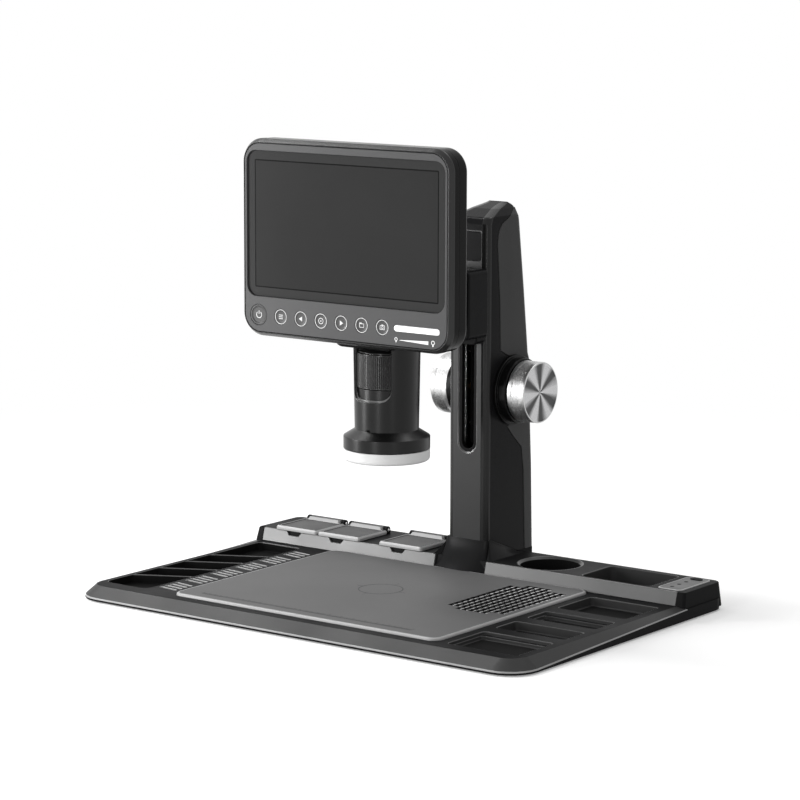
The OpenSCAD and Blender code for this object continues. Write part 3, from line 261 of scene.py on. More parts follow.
# ---- Materials ----
class Net:
    """Adds nodes to a tree. A socket is given by its name or, as i0, i1 and so on, by its place; its value
    is a number, a colour or another node's output."""
    def __init__(self, tree):
        self.tree = tree

    def __call__(self, kind, out=0, settings=None, **given):
        node = self.tree.nodes.new(kind)
        for key, value in (settings or {}).items():
            setattr(node, key, value)
        for key, value in given.items():
            numbered = key[0] == "i" and key[1:].isdigit()
            socket = node.inputs[int(key[1:]) if numbered else key.replace("_", " ")]
            if isinstance(value, bpy.types.NodeSocket):
                self.tree.links.new(value, socket)
            else:
                socket.default_value = value
        return node.outputs[out]

    def maths(self, operation, *values):
        """One sum, product or other function of the values."""
        given = {f"i{k}": v for k, v in enumerate(values)}
        return self("ShaderNodeMath", settings={"operation": operation}, **given)

    def blend(self, factor, a, b):
        """Colour a at factor 0 and colour b at factor 1."""
        return self("ShaderNodeMix", out=2, settings={"data_type": "RGBA"}, i0=factor, i6=a, i7=b)


def group(name, inputs, outputs, build):
    """A shader node group, made once, with named inputs and outputs."""
    if name in bpy.data.node_groups:
        return bpy.data.node_groups[name]
    tree = bpy.data.node_groups.new(name, "ShaderNodeTree")
    for label, kind, default in inputs:
        socket = tree.interface.new_socket(label, in_out="INPUT", socket_type="NodeSocket" + kind)
        if default is not None:
            socket.default_value = default
    for label, kind in outputs:
        tree.interface.new_socket(label, in_out="OUTPUT", socket_type="NodeSocket" + kind)
    source, sink = tree.nodes.new("NodeGroupInput"), tree.nodes.new("NodeGroupOutput")
    for label, socket in build(Net(tree), source.outputs).items():
        tree.links.new(socket, sink.inputs[label])
    return tree


# What both surface groups give
SURFACE = [("Colour", "Color"), ("Roughness", "Float"), ("Height", "Float")]


def moulded_group():
    """Moulded or painted surface: broad patches shift colour and roughness, fine grain gives height."""
    def build(net, given):
        place = net("ShaderNodeTexCoord", out=3)
        broad = net("ShaderNodeTexNoise", Vector=place, Scale=given["Patches"], Detail=4.0, Roughness=0.6)
        fine = net("ShaderNodeTexNoise", Vector=place, Scale=given["Grain"], Detail=2.0, Roughness=0.55)
        shift = net("ShaderNodeMapRange", i0=broad, i1=0.35, i2=0.68, i3=0.0, i4=1.0)
        colour = net.blend(net.maths("MULTIPLY", shift, given["Mottle"]), given["Colour"], given["Tint"])
        swing = net.maths("MULTIPLY", net.maths("SUBTRACT", shift, 0.5), given["Spread"])
        rough = net.maths("ADD", given["Roughness"], swing)
        speck = net.maths("MULTIPLY", net.maths("SUBTRACT", fine, 0.5), given["Spread"])
        return {"Colour": colour, "Roughness": net.maths("ADD", rough, speck), "Height": fine}
    return group("Moulded surface", [
        ("Colour", "Color", (0.1, 0.1, 0.1, 1)), ("Tint", "Color", (0.2, 0.2, 0.2, 1)),
        ("Mottle", "Float", 0.5), ("Roughness", "Float", 0.4), ("Spread", "Float", 0.1),
        ("Grain", "Float", 2000.0), ("Patches", "Float", 30.0)], SURFACE, build)


def turned_group():
    """Face turned on a lathe: sectors of painted sheen and painted shade follow the angle about the X axis,
    grooves the radius.
    """
    def build(net, given):
        split = net.tree.nodes.new("ShaderNodeSeparateXYZ")
        net.tree.links.new(given["Vector"], split.inputs[0])
        x, y, z = split.outputs
        angle = net.maths("ARCTAN2", z, y)
        squares = net.maths("ADD", net.maths("MULTIPLY", y, y), net.maths("MULTIPLY", z, z))
        radius = net.maths("SQRT", squares)
        ray = net("ShaderNodeCombineXYZ", X=net.maths("COSINE", angle), Y=net.maths("SINE", angle),
                  Z=net.maths("MULTIPLY", radius, 9.0))
        streak = net("ShaderNodeTexNoise", Vector=ray, Scale=26.0, Detail=3.0, Roughness=0.7)
        sway = net("ShaderNodeTexNoise", Vector=ray, Scale=1.7, Detail=1.0)
        drift = net.maths("MULTIPLY", sway, 2.2)
        turn = net.maths("ADD", net.maths("MULTIPLY", angle, given["Sectors"]), drift)
        wave = net.maths("ADD", net.maths("MULTIPLY", net.maths("SINE", turn), 0.5), 0.5)
        sheen_mask = net("ShaderNodeMapRange", i0=net.maths("ADD", wave, net.maths("MULTIPLY", streak, 0.35)),
                   i1=0.3, i2=1.0, i3=0.0, i4=1.0)
        ripple = net.maths("SINE", net.maths("MULTIPLY", radius, given["Grooves"]))
        groove = net.maths("MULTIPLY", ripple, 0.5)
        return {"Colour": net.blend(sheen_mask, given["Dark"], given["Bright"]),
                "Roughness": net("ShaderNodeMapRange", i0=sheen_mask, i1=0.0, i2=1.0, i3=0.34, i4=0.22),
                "Height": net.maths("ADD", groove, streak)}
    return group("Turned face", [
        ("Vector", "Vector", None), ("Sectors", "Float", 6.0), ("Grooves", "Float", 9000.0),
        ("Dark", "Color", (0.2, 0.2, 0.2, 1)), ("Bright", "Color", (0.9, 0.9, 0.9, 1))],
        SURFACE, build)


# Finish: colour (a number is a neutral grey, a name one of the panel's colours), tint, mottle,
# roughness, spread, grain per metre, patches per metre, bump height in millimetres, then the
# shader's plain settings
M, S, W = "Metallic", "Specular IOR Level", "Transmission Weight"
FINISHES = {
    "base_black": ("base", 0.014, 0.5, 0.42, 0.12, 2300, 14, 0.05, {S: 0.02}),
    # Darker than the base for the floors and walls of hollows and pits: painted shade
    "base_floor": (0.006, 0.012, 0.6, 0.5, 0.1, 2300, 18, 0.05, {S: 0.02}),
    # Lighter than the base on the rounded rims of hollows: painted highlight
    "base_edge": (0.05, 0.07, 0.5, 0.32, 0.1, 2300, 40, 0.02, {S: 0.3}),
    # Lighter than the base on the sloping front and the walls of wells and bin: painted light where the lamps
    # fall
    "base_bevel": (0.036, 0.044, 0.5, 0.42, 0.1, 2300, 14, 0.05, {S: 0.1}),
    # Light grey on the lip's upper rounding and on the tool slots' rims and walls: painted highlight
    "base_bright": (0.26, 0.34, 0.5, 0.35, 0.1, 2300, 60, 0.01, {S: 0.3}),
    "rubber_black": (0.018, 0.03, 0.5, 0.75, 0.1, 1500, 60, 0.05, {S: 0.3}),
    "steel": (0.5, 0.62, 0.5, 0.32, 0.12, 1800, 120, 0.01, {M: 1.0}),
    "copper": ((0.6, 0.26, 0.13), (0.75, 0.36, 0.2), 0.5, 0.3, 0.1, 2600, 90, 0.03, {M: 1.0}),
    "pad_grey": ("pad", 0.1, 0.6, 0.6, 0.1, 2800, 9, 0.035, {S: 0.35}),
    "pad_print": (0.012, 0.018, 0.5, 0.55, 0.1, 2000, 60, 0.01, {S: 0.3}),
    # Lighter than the pad on its rounded rim: painted highlight
    "pad_rim": (0.3, 0.38, 0.5, 0.4, 0.1, 2600, 40, 0.01, {S: 0.4}),
    # Near white on the pits' sloping facets: painted highlight
    "pad_facet": (0.75, 0.85, 0.5, 0.45, 0.1, 2600, 90, 0.01, {S: 0.3}),
    "trim_grey": (0.072, 0.085, 0.5, 0.36, 0.08, 2200, 22, 0.012, {S: 0.5}),
    "lid_grey": (0.024, 0.032, 0.5, 0.45, 0.1, 2400, 30, 0.025, {S: 0.3}),
    # Light grey on the rounded edges of lids and control plate and on the lids' ridges: painted highlight
    "lid_edge": (0.36, 0.44, 0.5, 0.38, 0.1, 2400, 30, 0.01, {S: 0.4}),
    "lens_dark": (0.006, 0.01, 0.5, 0.4, 0.06, 900, 60, 0.002, {S: 0.03}),
    "plate_grey": (0.045, 0.06, 0.5, 0.42, 0.1, 2400, 40, 0.02, {}),
    "light_white": (0.78, 0.86, 0.5, 0.3, 0.1, 900, 60, 0.004, {"Emission Strength": 0.25}),
    "board_green": ((0.012, 0.09, 0.03), (0.02, 0.13, 0.045), 0.6, 0.35, 0.15, 1200, 200, 0.01, {}),
    "column_black": ("column", 0.012, 0.5, 0.28, 0.08, 2600, 12, 0.006, {S: 0.04}),
    "column_edge": (0.01, 0.015, 0.5, 0.24, 0.06, 2600, 12, 0.003, {S: 0.22}),
    "column_front": (0.014, 0.02, 0.5, 0.34, 0.08, 2600, 12, 0.006, {S: 0.3}),
    "cover_grey": (0.05, 0.062, 0.5, 0.36, 0.1, 2600, 12, 0.012, {S: 0.06}),
    "seat_black": (0.006, 0.01, 0.5, 0.5, 0.1, 2600, 30, 0.01, {S: 0.1}),
    # Light metal-grey rim round the column's slot: painted highlight
    "edge_bright": (0.16, 0.22, 0.5, 0.25, 0.1, 2200, 60, 0.006, {M: 0.6}),
    "ground_steel": (0.6, 0.7, 0.5, 0.18, 0.08, 2600, 200, 0.004, {M: 1.0}),
    "collar_black": (0.004, 0.006, 0.5, 0.2, 0.06, 2600, 40, 0.003, {S: 0.1}),
    "knob_rim": (0.5, 0.58, 0.5, 0.36, 0.1, 2600, 60, 0.006, {M: 1.0}),
    "knob_knurl": (0.3, 0.72, 1.0, 0.44, 0.2, 2600, 1100, 0.02, {M: 1.0}),
    "window_picture": (0.028, 0.032, 0.6, 0.18, 0.04, 900, 6, 0.001, {S: 0.03}),
    "bronze": ((0.5, 0.3, 0.1), (0.6, 0.38, 0.15), 0.6, 0.42, 0.15, 2600, 160, 0.02, {M: 1.0}),
    "gear_brass": ((0.58, 0.42, 0.16), (0.68, 0.5, 0.22), 0.5, 0.28, 0.12, 2600, 160, 0.01, {M: 1.0}),
    # Its turned face gets sectors of painted sheen and shade from the turned-face group
    "knob_aluminium": ("metal", 0.7, 0.5, 0.28, 0.1, 2600, 90, 0.01, {M: 1.0}),
    "barrel_black": (0.004, 0.006, 0.5, 0.3, 0.05, 2600, 20, 0.003, {S: 0.24}),
    # Lighter than the barrel on the walls of its opening: painted highlight
    "barrel_edge": (0.07, 0.1, 0.5, 0.3, 0.05, 2600, 20, 0.003, {S: 0.5}),
    "ring_black": (0.02, 0.03, 0.5, 0.26, 0.08, 2200, 60, 0.006, {S: 0.4}),
    "tube_bright": (0.14, 0.2, 0.5, 0.22, 0.08, 2600, 40, 0.006, {M: 0.9}),
    "board_white": (0.7, 0.8, 0.5, 0.35, 0.1, 1800, 200, 0.006, {}),
    "diffuser_white": (0.62, 0.68, 0.5, 0.42, 0.1, 1800, 30, 0.008, {}),
    "bezel_grey": ("bezel", 0.073, 0.5, 0.4, 0.07, 2600, 8, 0.012, {S: 0.15}),
    "shell_black": (0.004, 0.007, 0.5, 0.2, 0.05, 2400, 16, 0.004, {S: 0.06}),
    # Real gloss, and a colour lighter than the shell as painted highlight on the screen's rounded rim
    "rim_gloss": (0.014, 0.018, 0.5, 0.24, 0.05, 2400, 16, 0.002, {S: 0.32}),
    "window_border": (0.036, 0.04, 0.4, 0.18, 0.03, 900, 9, 0.001, {S: 0.03}),
    "window_line": (0.008, 0.01, 0.4, 0.18, 0.03, 900, 9, 0.001, {S: 0.03}),
    "lcd_dark": (0.03, 0.036, 0.6, 0.2, 0.05, 900, 6, 0.001, {S: 0.45}),
    "battery_blue": ((0.05, 0.09, 0.2), (0.07, 0.12, 0.25), 0.5, 0.35, 0.1, 1500, 60, 0.02, {}),
    "key_dark": (0.045, 0.055, 0.5, 0.36, 0.08, 2600, 60, 0.008, {S: 0.2}),
    "key_mark": (0.75, 0.85, 0.5, 0.4, 0.08, 2600, 90, 0.004, {}),
    "key_print": (0.64, 0.72, 0.5, 0.45, 0.08, 2600, 90, 0.004, {S: 0.1}),
    "glass_clear": ((0.75, 0.85, 0.95), (0.7, 0.8, 0.95), 0.4, 0.03, 0.02, 900, 20, 0.0, {W: 1.0}),
}


def material(name):
    """The named finish as a material: a moulded-surface group feeds the shader, or for the turned
    aluminium the turned-face group, centred on the knobs' axis, which paints sheen and shade in sectors."""
    label = name.replace("_", " ").capitalize()
    if label in bpy.data.materials:
        return bpy.data.materials[label]
    colour, tint, mottle, rough, spread, grain, patches, bump, plain = FINISHES[name]
    chosen = bpy.context.scene.microscope_colours
    if isinstance(colour, str):
        colour = tuple(getattr(chosen, colour))
    colour, tint = ((c, c, c) if isinstance(c, float) else tuple(c) for c in (colour, tint))
    made = bpy.data.materials.new(label)
    made.use_nodes = True
    made.diffuse_color = (*colour, 1)
    net = Net(made.node_tree)
    shader = made.node_tree.nodes["Principled BSDF"]
    node = made.node_tree.nodes.new("ShaderNodeGroup")
    node.node_tree = moulded_group()
    for key, value in (("Colour", (*colour, 1)), ("Tint", (*tint, 1)), ("Mottle", mottle),
                       ("Roughness", rough), ("Spread", spread), ("Grain", grain), ("Patches", patches)):
        node.inputs[key].default_value = value
    colours, roughs, heights = node.outputs
    if name == "knob_aluminium":
        place = net("ShaderNodeMapping", Vector=net("ShaderNodeTexCoord", out=3),
                    Location=(0, -DRIVE_Y * MM, -DRIVE_Z * MM))
        turned = made.node_tree.nodes.new("ShaderNodeGroup")
        turned.node_tree = turned_group()
        made.node_tree.links.new(place, turned.inputs["Vector"])
        turned.inputs["Sectors"].default_value = bpy.context.scene.microscope_sizes.sectors
        # Sectors between these two colours paint the turned face's sheen and shade
        turned.inputs["Dark"].default_value = (*(0.08 * c for c in colour), 1)
        turned.inputs["Bright"].default_value = (*(0.62 * c for c in colour), 1)
        colours, roughs, heights = turned.outputs
    link = made.node_tree.links.new
    link(colours, shader.inputs["Base Color"])
    if W not in plain:
        link(roughs, shader.inputs["Roughness"])
        lift = net("ShaderNodeBump", Strength=0.6, Distance=bump * MM, Height=heights)
        link(lift, shader.inputs["Normal"])
    else:
        shader.inputs["Roughness"].default_value = rough
    if "Emission Strength" in plain:
        link(colours, shader.inputs["Emission Color"])
    for key, value in plain.items():
        shader.inputs[key].default_value = value
    return made


# ---- Base, tray and deck ----
# Marks of the base: the black itself, then painted shade in hollows, painted highlight on rims, painted light
# on the sloping front and well walls, and a painted highlight on the lip and tool slots
BASE_FINISHES = ["base_black", "base_floor", "base_edge", "base_bevel", "base_bright"]
BLACK, FLOOR_SHADE, RIM_HIGHLIGHT, LIT_FACE, HIGHLIGHT = range(5)
# Width of the sloping edges, and the lip below them: lowest height, rise, and where it starts to rise
FRONT_SLOPE, SIDE_SLOPE = 9, 8
LIP_LOW, LIP_RISE, LIP_START = 3.0, 5.8, -116
# The tray's top ends just behind the deck's front, and goes on as a low seat under the deck
STEP_Y, SEAT_Z = DECK_Y + 2.45, 3.3
# Rows of the tray's outside: share of the slope, inset, height or None for the slope's own, and drop
TRAY_ROWS = (
    (0, 5, 2.45, 0), (0, 5, UNDER_Z, 0), (0, 0.7, UNDER_Z, 0), (0, 0.15, 1.0, 0), (0, 0, 1.6, 0),
    (0, 0, None, -0.7), (0.012, 0, None, -0.1), (0.05, 0, None, 0.0), (0.94, 0, None, 0),
    (0.985, 0, RIM_Z - 0.09, 0), (1.04, 0, RIM_Z, 0))
# Front and rear end of the left trays, the floor of the deep wells, and the centre of the pad
TRAY_LOW, TRAY_HIGH, TRAY_FLOOR, PAD_AT = -116.547, 55.453, 4.0, (0, -29.125)
# The deck's lowest edge, and the centres of the cup, the bin and the control plate on it
DECK_FOOT, CUP_AT, BIN_AT, PLATE_AT = 3.0, (61, 89.23), (128.5, 89.23), (172.5, 89.53)


def base_ring(t, out=0.0):
    """Plan of the base drawn in by the share t of its sloping edges and by out all round, with more
    points down the sides for the rising lip."""
    front, x = FRONT_SLOPE * t + out, SIDE_X - (SIDE_SLOPE * t + out)
    ys = np.array([LIP_START, -80, -40, 0, 40, DECK_Y, DECK_Y + 2.4, DECK_Y + 2.5])
    right = [(x, y) for y in ys]
    left = [(-x, y) for y in ys[::-1]]
    fore, aft = FRONT_Y + front, REAR_Y - out
    points = [(-x, fore), (x, fore), *right, (x, aft), (-x, aft), *left]
    radii = [22 - front] * 2 + [0] * 8 + [12 - out] * 2 + [0] * 8
    return rounded(points, radii, 6)[0]


def tray_body(s):
    """The tray: a cover seat underneath, a lip whose top rises along the sides, a sloping edge whose
    height goes in a straight line from lip to rim, and flat tops in front of and under the deck."""
    rows = []
    for t, out, low, drop in TRAY_ROWS:
        ring = base_ring(t, out)
        lip = LIP_LOW + LIP_RISE * np.clip((ring[:, 1] - LIP_START) / (DECK_Y - LIP_START), 0, 1)
        z = np.full(len(ring), low) if low is not None else lip + (RIM_Z - lip) * t + drop
        if t > 0.9:
            z = np.where(ring[:, 1] > STEP_Y, SEAT_Z, z)
        rows.append(np.column_stack([ring, z]))
    rows = np.stack(rows)
    behind = np.flatnonzero(rows[0, :, 1] > STEP_Y)
    first, last = behind[0], behind[-1]
    s.grid(rows[:, first:last + 1], closed=False)
    round_front = np.concatenate([rows[:, last:], rows[:, :first + 1]], 1)
    # Round the front: the lip's upper rounding takes a painted highlight and the sloping front lighter
    # painted light
    for low, high, mark in ((0, 5, BLACK), (5, 7, HIGHLIGHT), (7, 9, LIT_FACE), (9, 10, BLACK)):
        s.grid(round_front[low:high + 1], closed=False, mark=mark)
    s.fill(rows[0][:, :2], TRAY_ROWS[0][2], down=True)
    top = rows[-1]
    front = top[:, 1] < STEP_Y
    s.fill(top[~front][:, :2], SEAT_Z)
    x, y0, y1 = top[:, 0].max(), DECK_Y + 2.5, DECK_Y + 2.4
    step = [[[x, y0, SEAT_Z], [-x, y0, SEAT_Z]], [[x, y1, RIM_Z], [-x, y1, RIM_Z]]]
    s.grid(np.array(step), closed=False)
    pad_seat = s.pocket(box_ring(227.2, 182.05, 8.1, PAD_AT), RIM_Z, 9.0, edge=0.35, foot=0.3)
    holes = [pad_seat, *left_tray(s), *tool_slots(s), *right_wells(s)]
    s.fill(top[front][:, :2], RIM_Z, holes)


def left_tray(s):
    """Five compartments of the left tray, parted by four slanting ribs. Gives their outlines."""
    left, right, rib_half = -179, -140, 0.9
    slant = (right - left) / 2 * tan(radians(27))
    ribs = [(y - slant, y + slant) for y in (-76.547, -48.047, -19.547, 8.953)]
    edges = [(TRAY_LOW, TRAY_LOW), *ribs, (TRAY_HIGH, TRAY_HIGH)]
    corner_radii = [[6, 6, 1.4, 1.4], 1.4, 1.4, 1.4, [1.4, 1.4, 3, 3]]
    holes = []
    for k, radii in enumerate(corner_radii):
        front, back = edges[k], edges[k + 1]
        fore, aft = rib_half * (k > 0), rib_half * (k < 4)
        corners = [(left, front[0] + fore), (right, front[1] + fore), (right, back[1] - aft),
                   (left, back[0] - aft)]
        ring = shape_ring(corners, radii, 4)
        # Rims take a painted highlight; walls and floors a painted shade
        holes.append(s.pocket(ring, RIM_Z, TRAY_FLOOR, edge=0.5, foot=0.6, marks=(RIM_HIGHLIGHT, FLOOR_SHADE, FLOOR_SHADE)))
    return holes


def tool_slots(s):
    """Narrow slots for tools in groups of four beside the pad, turned 8 degrees. Gives their outlines."""
    angle, half_length, half_width = radians(8), 7.8, 1.1
    turn = np.array([[cos(angle), -sin(angle)], [sin(angle), cos(angle)]])
    box = np.array([[-1, -1], [1, -1], [1, 1], [-1, 1]]) * (half_length, half_width)
    holes = []
    for place in (k for k in range(28) if k % 5 != 4):
        middle = np.array([-128.4, TRAY_LOW + 10 + place * 5.5])
        ring = shape_ring(box @ turn + middle, 0.55, 2)
        # Rims and walls take a painted highlight; floors a painted shade
        holes.append(s.pocket(ring, RIM_Z, 7.2, edge=0.5, foot=0.15, marks=(HIGHLIGHT, HIGHLIGHT, FLOOR_SHADE)))
    return holes


def right_wells(s):
    """Four wells right of the pad; two of them have a ledge round a lower floor. Gives their outlines."""
    x, ledge = 148.5, 8.0
    holes = []
    for start, length, stepped in ((-2, 42, True), (52.7, 24, False), (89.4, 24, True), (126.1, 42, False)):
        y = TRAY_LOW + start + length / 2
        ring = box_ring(55, length, 2.6, (x, y))
        # Rims take a painted highlight, walls painted light and the deep floors a painted shade
        if stepped:
            marks = (RIM_HIGHLIGHT, LIT_FACE, BLACK)
            holes.append(s.pocket(ring, RIM_Z, ledge, edge=0.5, foot=0.1, marks=marks, open_floor=True))
            deep = box_ring(53.6, length - 4.6, 2.4, (x, y - 1.6))
            inner = s.pocket(deep, ledge, 5.6, edge=0.35, foot=0.6, marks=(RIM_HIGHLIGHT, LIT_FACE, FLOOR_SHADE))
            s.fill(ring(-0.4), ledge, [inner])
        else:
            marks = (RIM_HIGHLIGHT, LIT_FACE, FLOOR_SHADE)
            holes.append(s.pocket(ring, RIM_Z, TRAY_FLOOR, edge=0.5, foot=0.9, marks=marks))
    return holes


def deck_ring(z, out=0.0):
    """Plan of the deck at height z, moved out along its normals: the front leans back and is set in
    behind the trim, and the sides and rear draw in towards the top."""
    x, set_in, trim_end = 190 - (z - DECK_FOOT) * 0.12, 1.7, 182.2
    y0 = DECK_Y + max(z - RIM_Z, 0) * DECK_LEAN
    y1 = REAR_Y - 0.5 - (z - DECK_FOOT) * 0.06
    notch = [(-trim_end, y0), (-trim_end, y0 + set_in), (trim_end, y0 + set_in), (trim_end, y0)]
    points = [(-x, y0), *notch, (x, y0), (x, y1), (-x, y1)]
    rim, normal = rounded(points, [2.5, 0.5, 0.4, 0.4, 0.5, 2.5, 6, 6], 5)
    return rim + normal * out


def deck_body(s, edge):
    """The deck on the tray's rear, cut by the cup, the bin, the pockets under the lids and the plate's
    seat, with the hump behind the column's foot and the ears of the lids' hinges."""
    levels = [(DECK_FOOT, 0), (RIM_Z, 0), (DECK_Z - edge, 0), (DECK_Z - edge * 0.3, -edge * 0.27),
              (DECK_Z, -edge)]
    rows = [np.column_stack([deck_ring(z, out), np.full(len(deck_ring(z)), z)]) for z, out in levels]
    s.grid(np.stack(rows))
    s.fill(deck_ring(DECK_FOOT), DECK_FOOT, down=True)
    cup, cup_floor = disc_ring(21.5, CUP_AT), 5.2
    # Rims of cup and bin take a painted highlight, the bin's walls painted light, and the lower cup and the
    # floors a painted shade
    wall = [(2.5, DECK_Z), (1.8, DECK_Z), (0, 17.8), (0, cup_floor), (-4, cup_floor)]
    rows = loft(cup, bend(wall, [0.4, 0.6, 2.4]))
    s.grid(rows[:6], mark=RIM_HIGHLIGHT).grid(rows[5:], mark=FLOOR_SHADE)
    s.fill(cup(-4), cup_floor, mark=FLOOR_SHADE)
    parts_bin = box_ring(57, 41, 5, BIN_AT)
    holes = [cup(2.5), s.pocket(parts_bin, DECK_Z, 6.0, edge=0.7, foot=2.2, marks=(RIM_HIGHLIGHT, LIT_FACE, FLOOR_SHADE)),
             s.pocket(box_ring(19.7, 42.2, 4.1, PLATE_AT), DECK_Z, 18.0, edge=0.3, foot=0.2)]
    for x in LID_X:
        under_lid = box_ring(30.6, 24.4, 3, (x, LID_FRONT + 17.2))
        holes.append(s.pocket(under_lid, DECK_Z, 6.0, edge=0.5, foot=0.8))
    s.fill(deck_ring(DECK_Z, -edge), DECK_Z, holes)
    hump = box_ring(33, 34.5, 5, (0, 117.7))
    s.solid(hump, [(-0.6, UNDER_Z), (0, UNDER_Z + 0.6), (0, DECK_Z - 0.9), (-0.27, DECK_Z - 0.25),
                   (-0.9, DECK_Z)])
    for x in LID_X:
        for side in (-1, 1):
            s.face(RIGHT, (x + side * 16.6 - 1.4, 0, 0))
            ear = box_ring(5.2, 5.9, (0.1, 0.1, 2.55, 2.55), (HINGE_Y, 22.1))
            s.solid(ear, [(-0.3, 0), (0, 0.3), (0, 2.5), (-0.3, 2.8)])
    s.face(UP)


class MICROSCOPE_OT_base(bpy.types.Operator):
    """Base tray with its deck, wells, slots, cup and bin"""
    bl_idname = "microscope.base"
    bl_label = "Base"

    def execute(self, context):
        s = Shape()
        tray_body(s)
        deck_body(s, context.scene.microscope_sizes.edge / MM)
        piece("base_shell", s, BASE_FINISHES, "stand")
        return {"FINISHED"}


# ---- Work pad ----
# The rim's lighter grey and the pits' near-white facets are painted highlights; the pits' dark walls and
# floors are painted shade
PAD_FINISHES = ["pad_grey", "pad_print", "pad_rim", "base_floor", "pad_facet"]
PAD_GREY, PAD_PRINT, PAD_RIM_HIGHLIGHT, PIT_SHADE, PIT_HIGHLIGHT = range(5)
# Print starts this far below its surface, and on the pad it rises this far over it
SUNK, PAD_LIFT = 0.02, 0.03
# Corners of the field of pits
PIT_FIELD = np.array([[58.8, -35.1], [73.9, -38.7], [88, -41.0], [107.8, -35.1], [109.4, 38.5],
                      [91.8, 44.8], [78.8, 46.7], [60.7, 40.8]])


def pad_marks(s, z):
    """Generic marks on the pad: a ruler of plain ticks and a crosshair ring, as thin raised forms."""
    def mark(x0, x1, y0, y1):
        ring = box_ring(x1 - x0, y1 - y0, 0.05, ((x0 + x1) / 2, (y0 + y1) / 2), 1)
        s.solid(ring, [(0, z - SUNK), (0, z + PAD_LIFT)], mark=PAD_PRINT)
    foot, thin = -109.5, 0.2
    for k in range(181):
        tall = 4.4 if k % 10 == 0 else 3.2 if k % 5 == 0 else 2.0
        mark(k - 95 - thin, k - 95 + thin, foot, foot + tall)
    mark(-95, 85, foot - 0.5, foot - 0.1)
    x, y, reach, long = -5, AXIS_Y, 18, 3
    s.face(UP, (x, y, z))
    inner, outer = 15.1, 15.9
    section = [(inner, -SUNK), (outer, -SUNK), (outer, PAD_LIFT), (inner, PAD_LIFT), (inner, -SUNK)]
    s.lathe(section, mark=PAD_PRINT)
    s.face(UP)
    for side in (1, -1):
        mark(x + side * reach - long, x + side * reach + long, y - thin, y + thin)
    for side in (1, -1):
        mark(x - thin, x + thin, y + side * reach - long, y + side * reach + long)


def pad_pits(s, top):
    """Pits on a grid inside the field. Each is a rectangle cut in two: a flat floor darkened as painted
    shade, and a facet that slopes up from it, lightened as a painted highlight. Gives their outlines."""
    columns, rows = np.meshgrid(np.arange(52, 116, 5.3), np.arange(-44, 50, 6.3))
    spots = np.column_stack([columns.ravel(), rows.ravel()])
    along = np.roll(PIT_FIELD, -1, 0) - PIT_FIELD
    away = spots[:, None] - PIT_FIELD
    inside = np.all(along[:, 0] * away[..., 1] - along[:, 1] * away[..., 0] > 0, axis=1)
    half = np.array([[-2.4, -2.9], [2.4, -2.9], [2.4, 2.9], [-2.4, 2.9]])
    floor = top - np.array([1.3, 1.3, 0.05, 1.3])
    holes = []
    for spot in spots[inside]:
        rim = spot + half
        level = np.column_stack([spot + half * 0.92, floor])
        corners = np.concatenate([np.column_stack([rim, np.full(4, top)]), level])
        # Walls and floor take the painted shade, the sloping facet the painted highlight
        s.add(corners, [[0, 1, 5, 4], [1, 2, 6, 5], [2, 3, 7, 6], [3, 0, 4, 7]], PIT_SHADE)
        s.add(corners, [[4, 5, 7]], PIT_SHADE).add(corners, [[5, 6, 7]], PIT_HIGHLIGHT)
        holes.append(rim)
    return holes


class MICROSCOPE_OT_pad(bpy.types.Operator):
    """Work pad with a rounded rim, a field of small triangular pits and plain marks"""
    bl_idname = "microscope.pad"
    bl_label = "Work pad"

    def execute(self, context):
        s, low, top, r = Shape(), 9.0, 11.9, context.scene.microscope_sizes.rim / MM
        ring = box_ring(227, 181.85, 8, PAD_AT, 8)
        # The rounded rim is lighter than the pad as a painted highlight
        s.grid(loft(ring, bend([(0, low), (0, top), (-r - 0.4, top)], r, 5)), mark=PAD_RIM_HIGHLIGHT)
        s.fill(ring(0), low, down=True)
        s.fill(ring(-r - 0.4), top, pad_pits(s, top))
        pad_marks(s, top)
        piece("work_pad", s, PAD_FINISHES, "stand")
        return {"FINISHED"}


# ---- Deck's trim, lids and controls ----
class MICROSCOPE_OT_trim(bpy.types.Operator):
    """Light strips on the deck's leaning front, notched under each lid"""
    bl_idname = "microscope.trim"
    bl_label = "Deck trim"

    def execute(self, context):
        turn = np.array([[1.0, 0, 0], [0, DECK_LEAN, -1], [0, 1, 0]])
        low, notch = RIM_Z + 0.02, DECK_Z - 3.2
        strips = (("deck_trim_left", -182, -22.4, LID_X[::-1]), ("deck_trim_right", 22.4, 182, ()))
        for name, x0, x1, lids in strips:
            s = Shape().face(turn, (0, DECK_Y - DECK_LEAN * RIM_Z, 0))
            top = [(x1, DECK_Z)]
            radii = [0.3, 0.3, 0.5]
            for x in (lid - 2 for lid in lids):
                top += [(x + 7, DECK_Z), (x + 4.5, notch), (x - 4.5, notch), (x - 7, DECK_Z)]
                radii += [0.6] * 4
            ring = shape_ring([(x0, low), (x1, low), *top, (x0, DECK_Z)], [*radii, 0.5], 3)
            s.solid(ring, [(0, -1.6), (0, -0.35), (-0.1, -0.1), (-0.28, 0)])
            piece(name, s, "trim_grey", "stand")
        return {"FINISHED"}


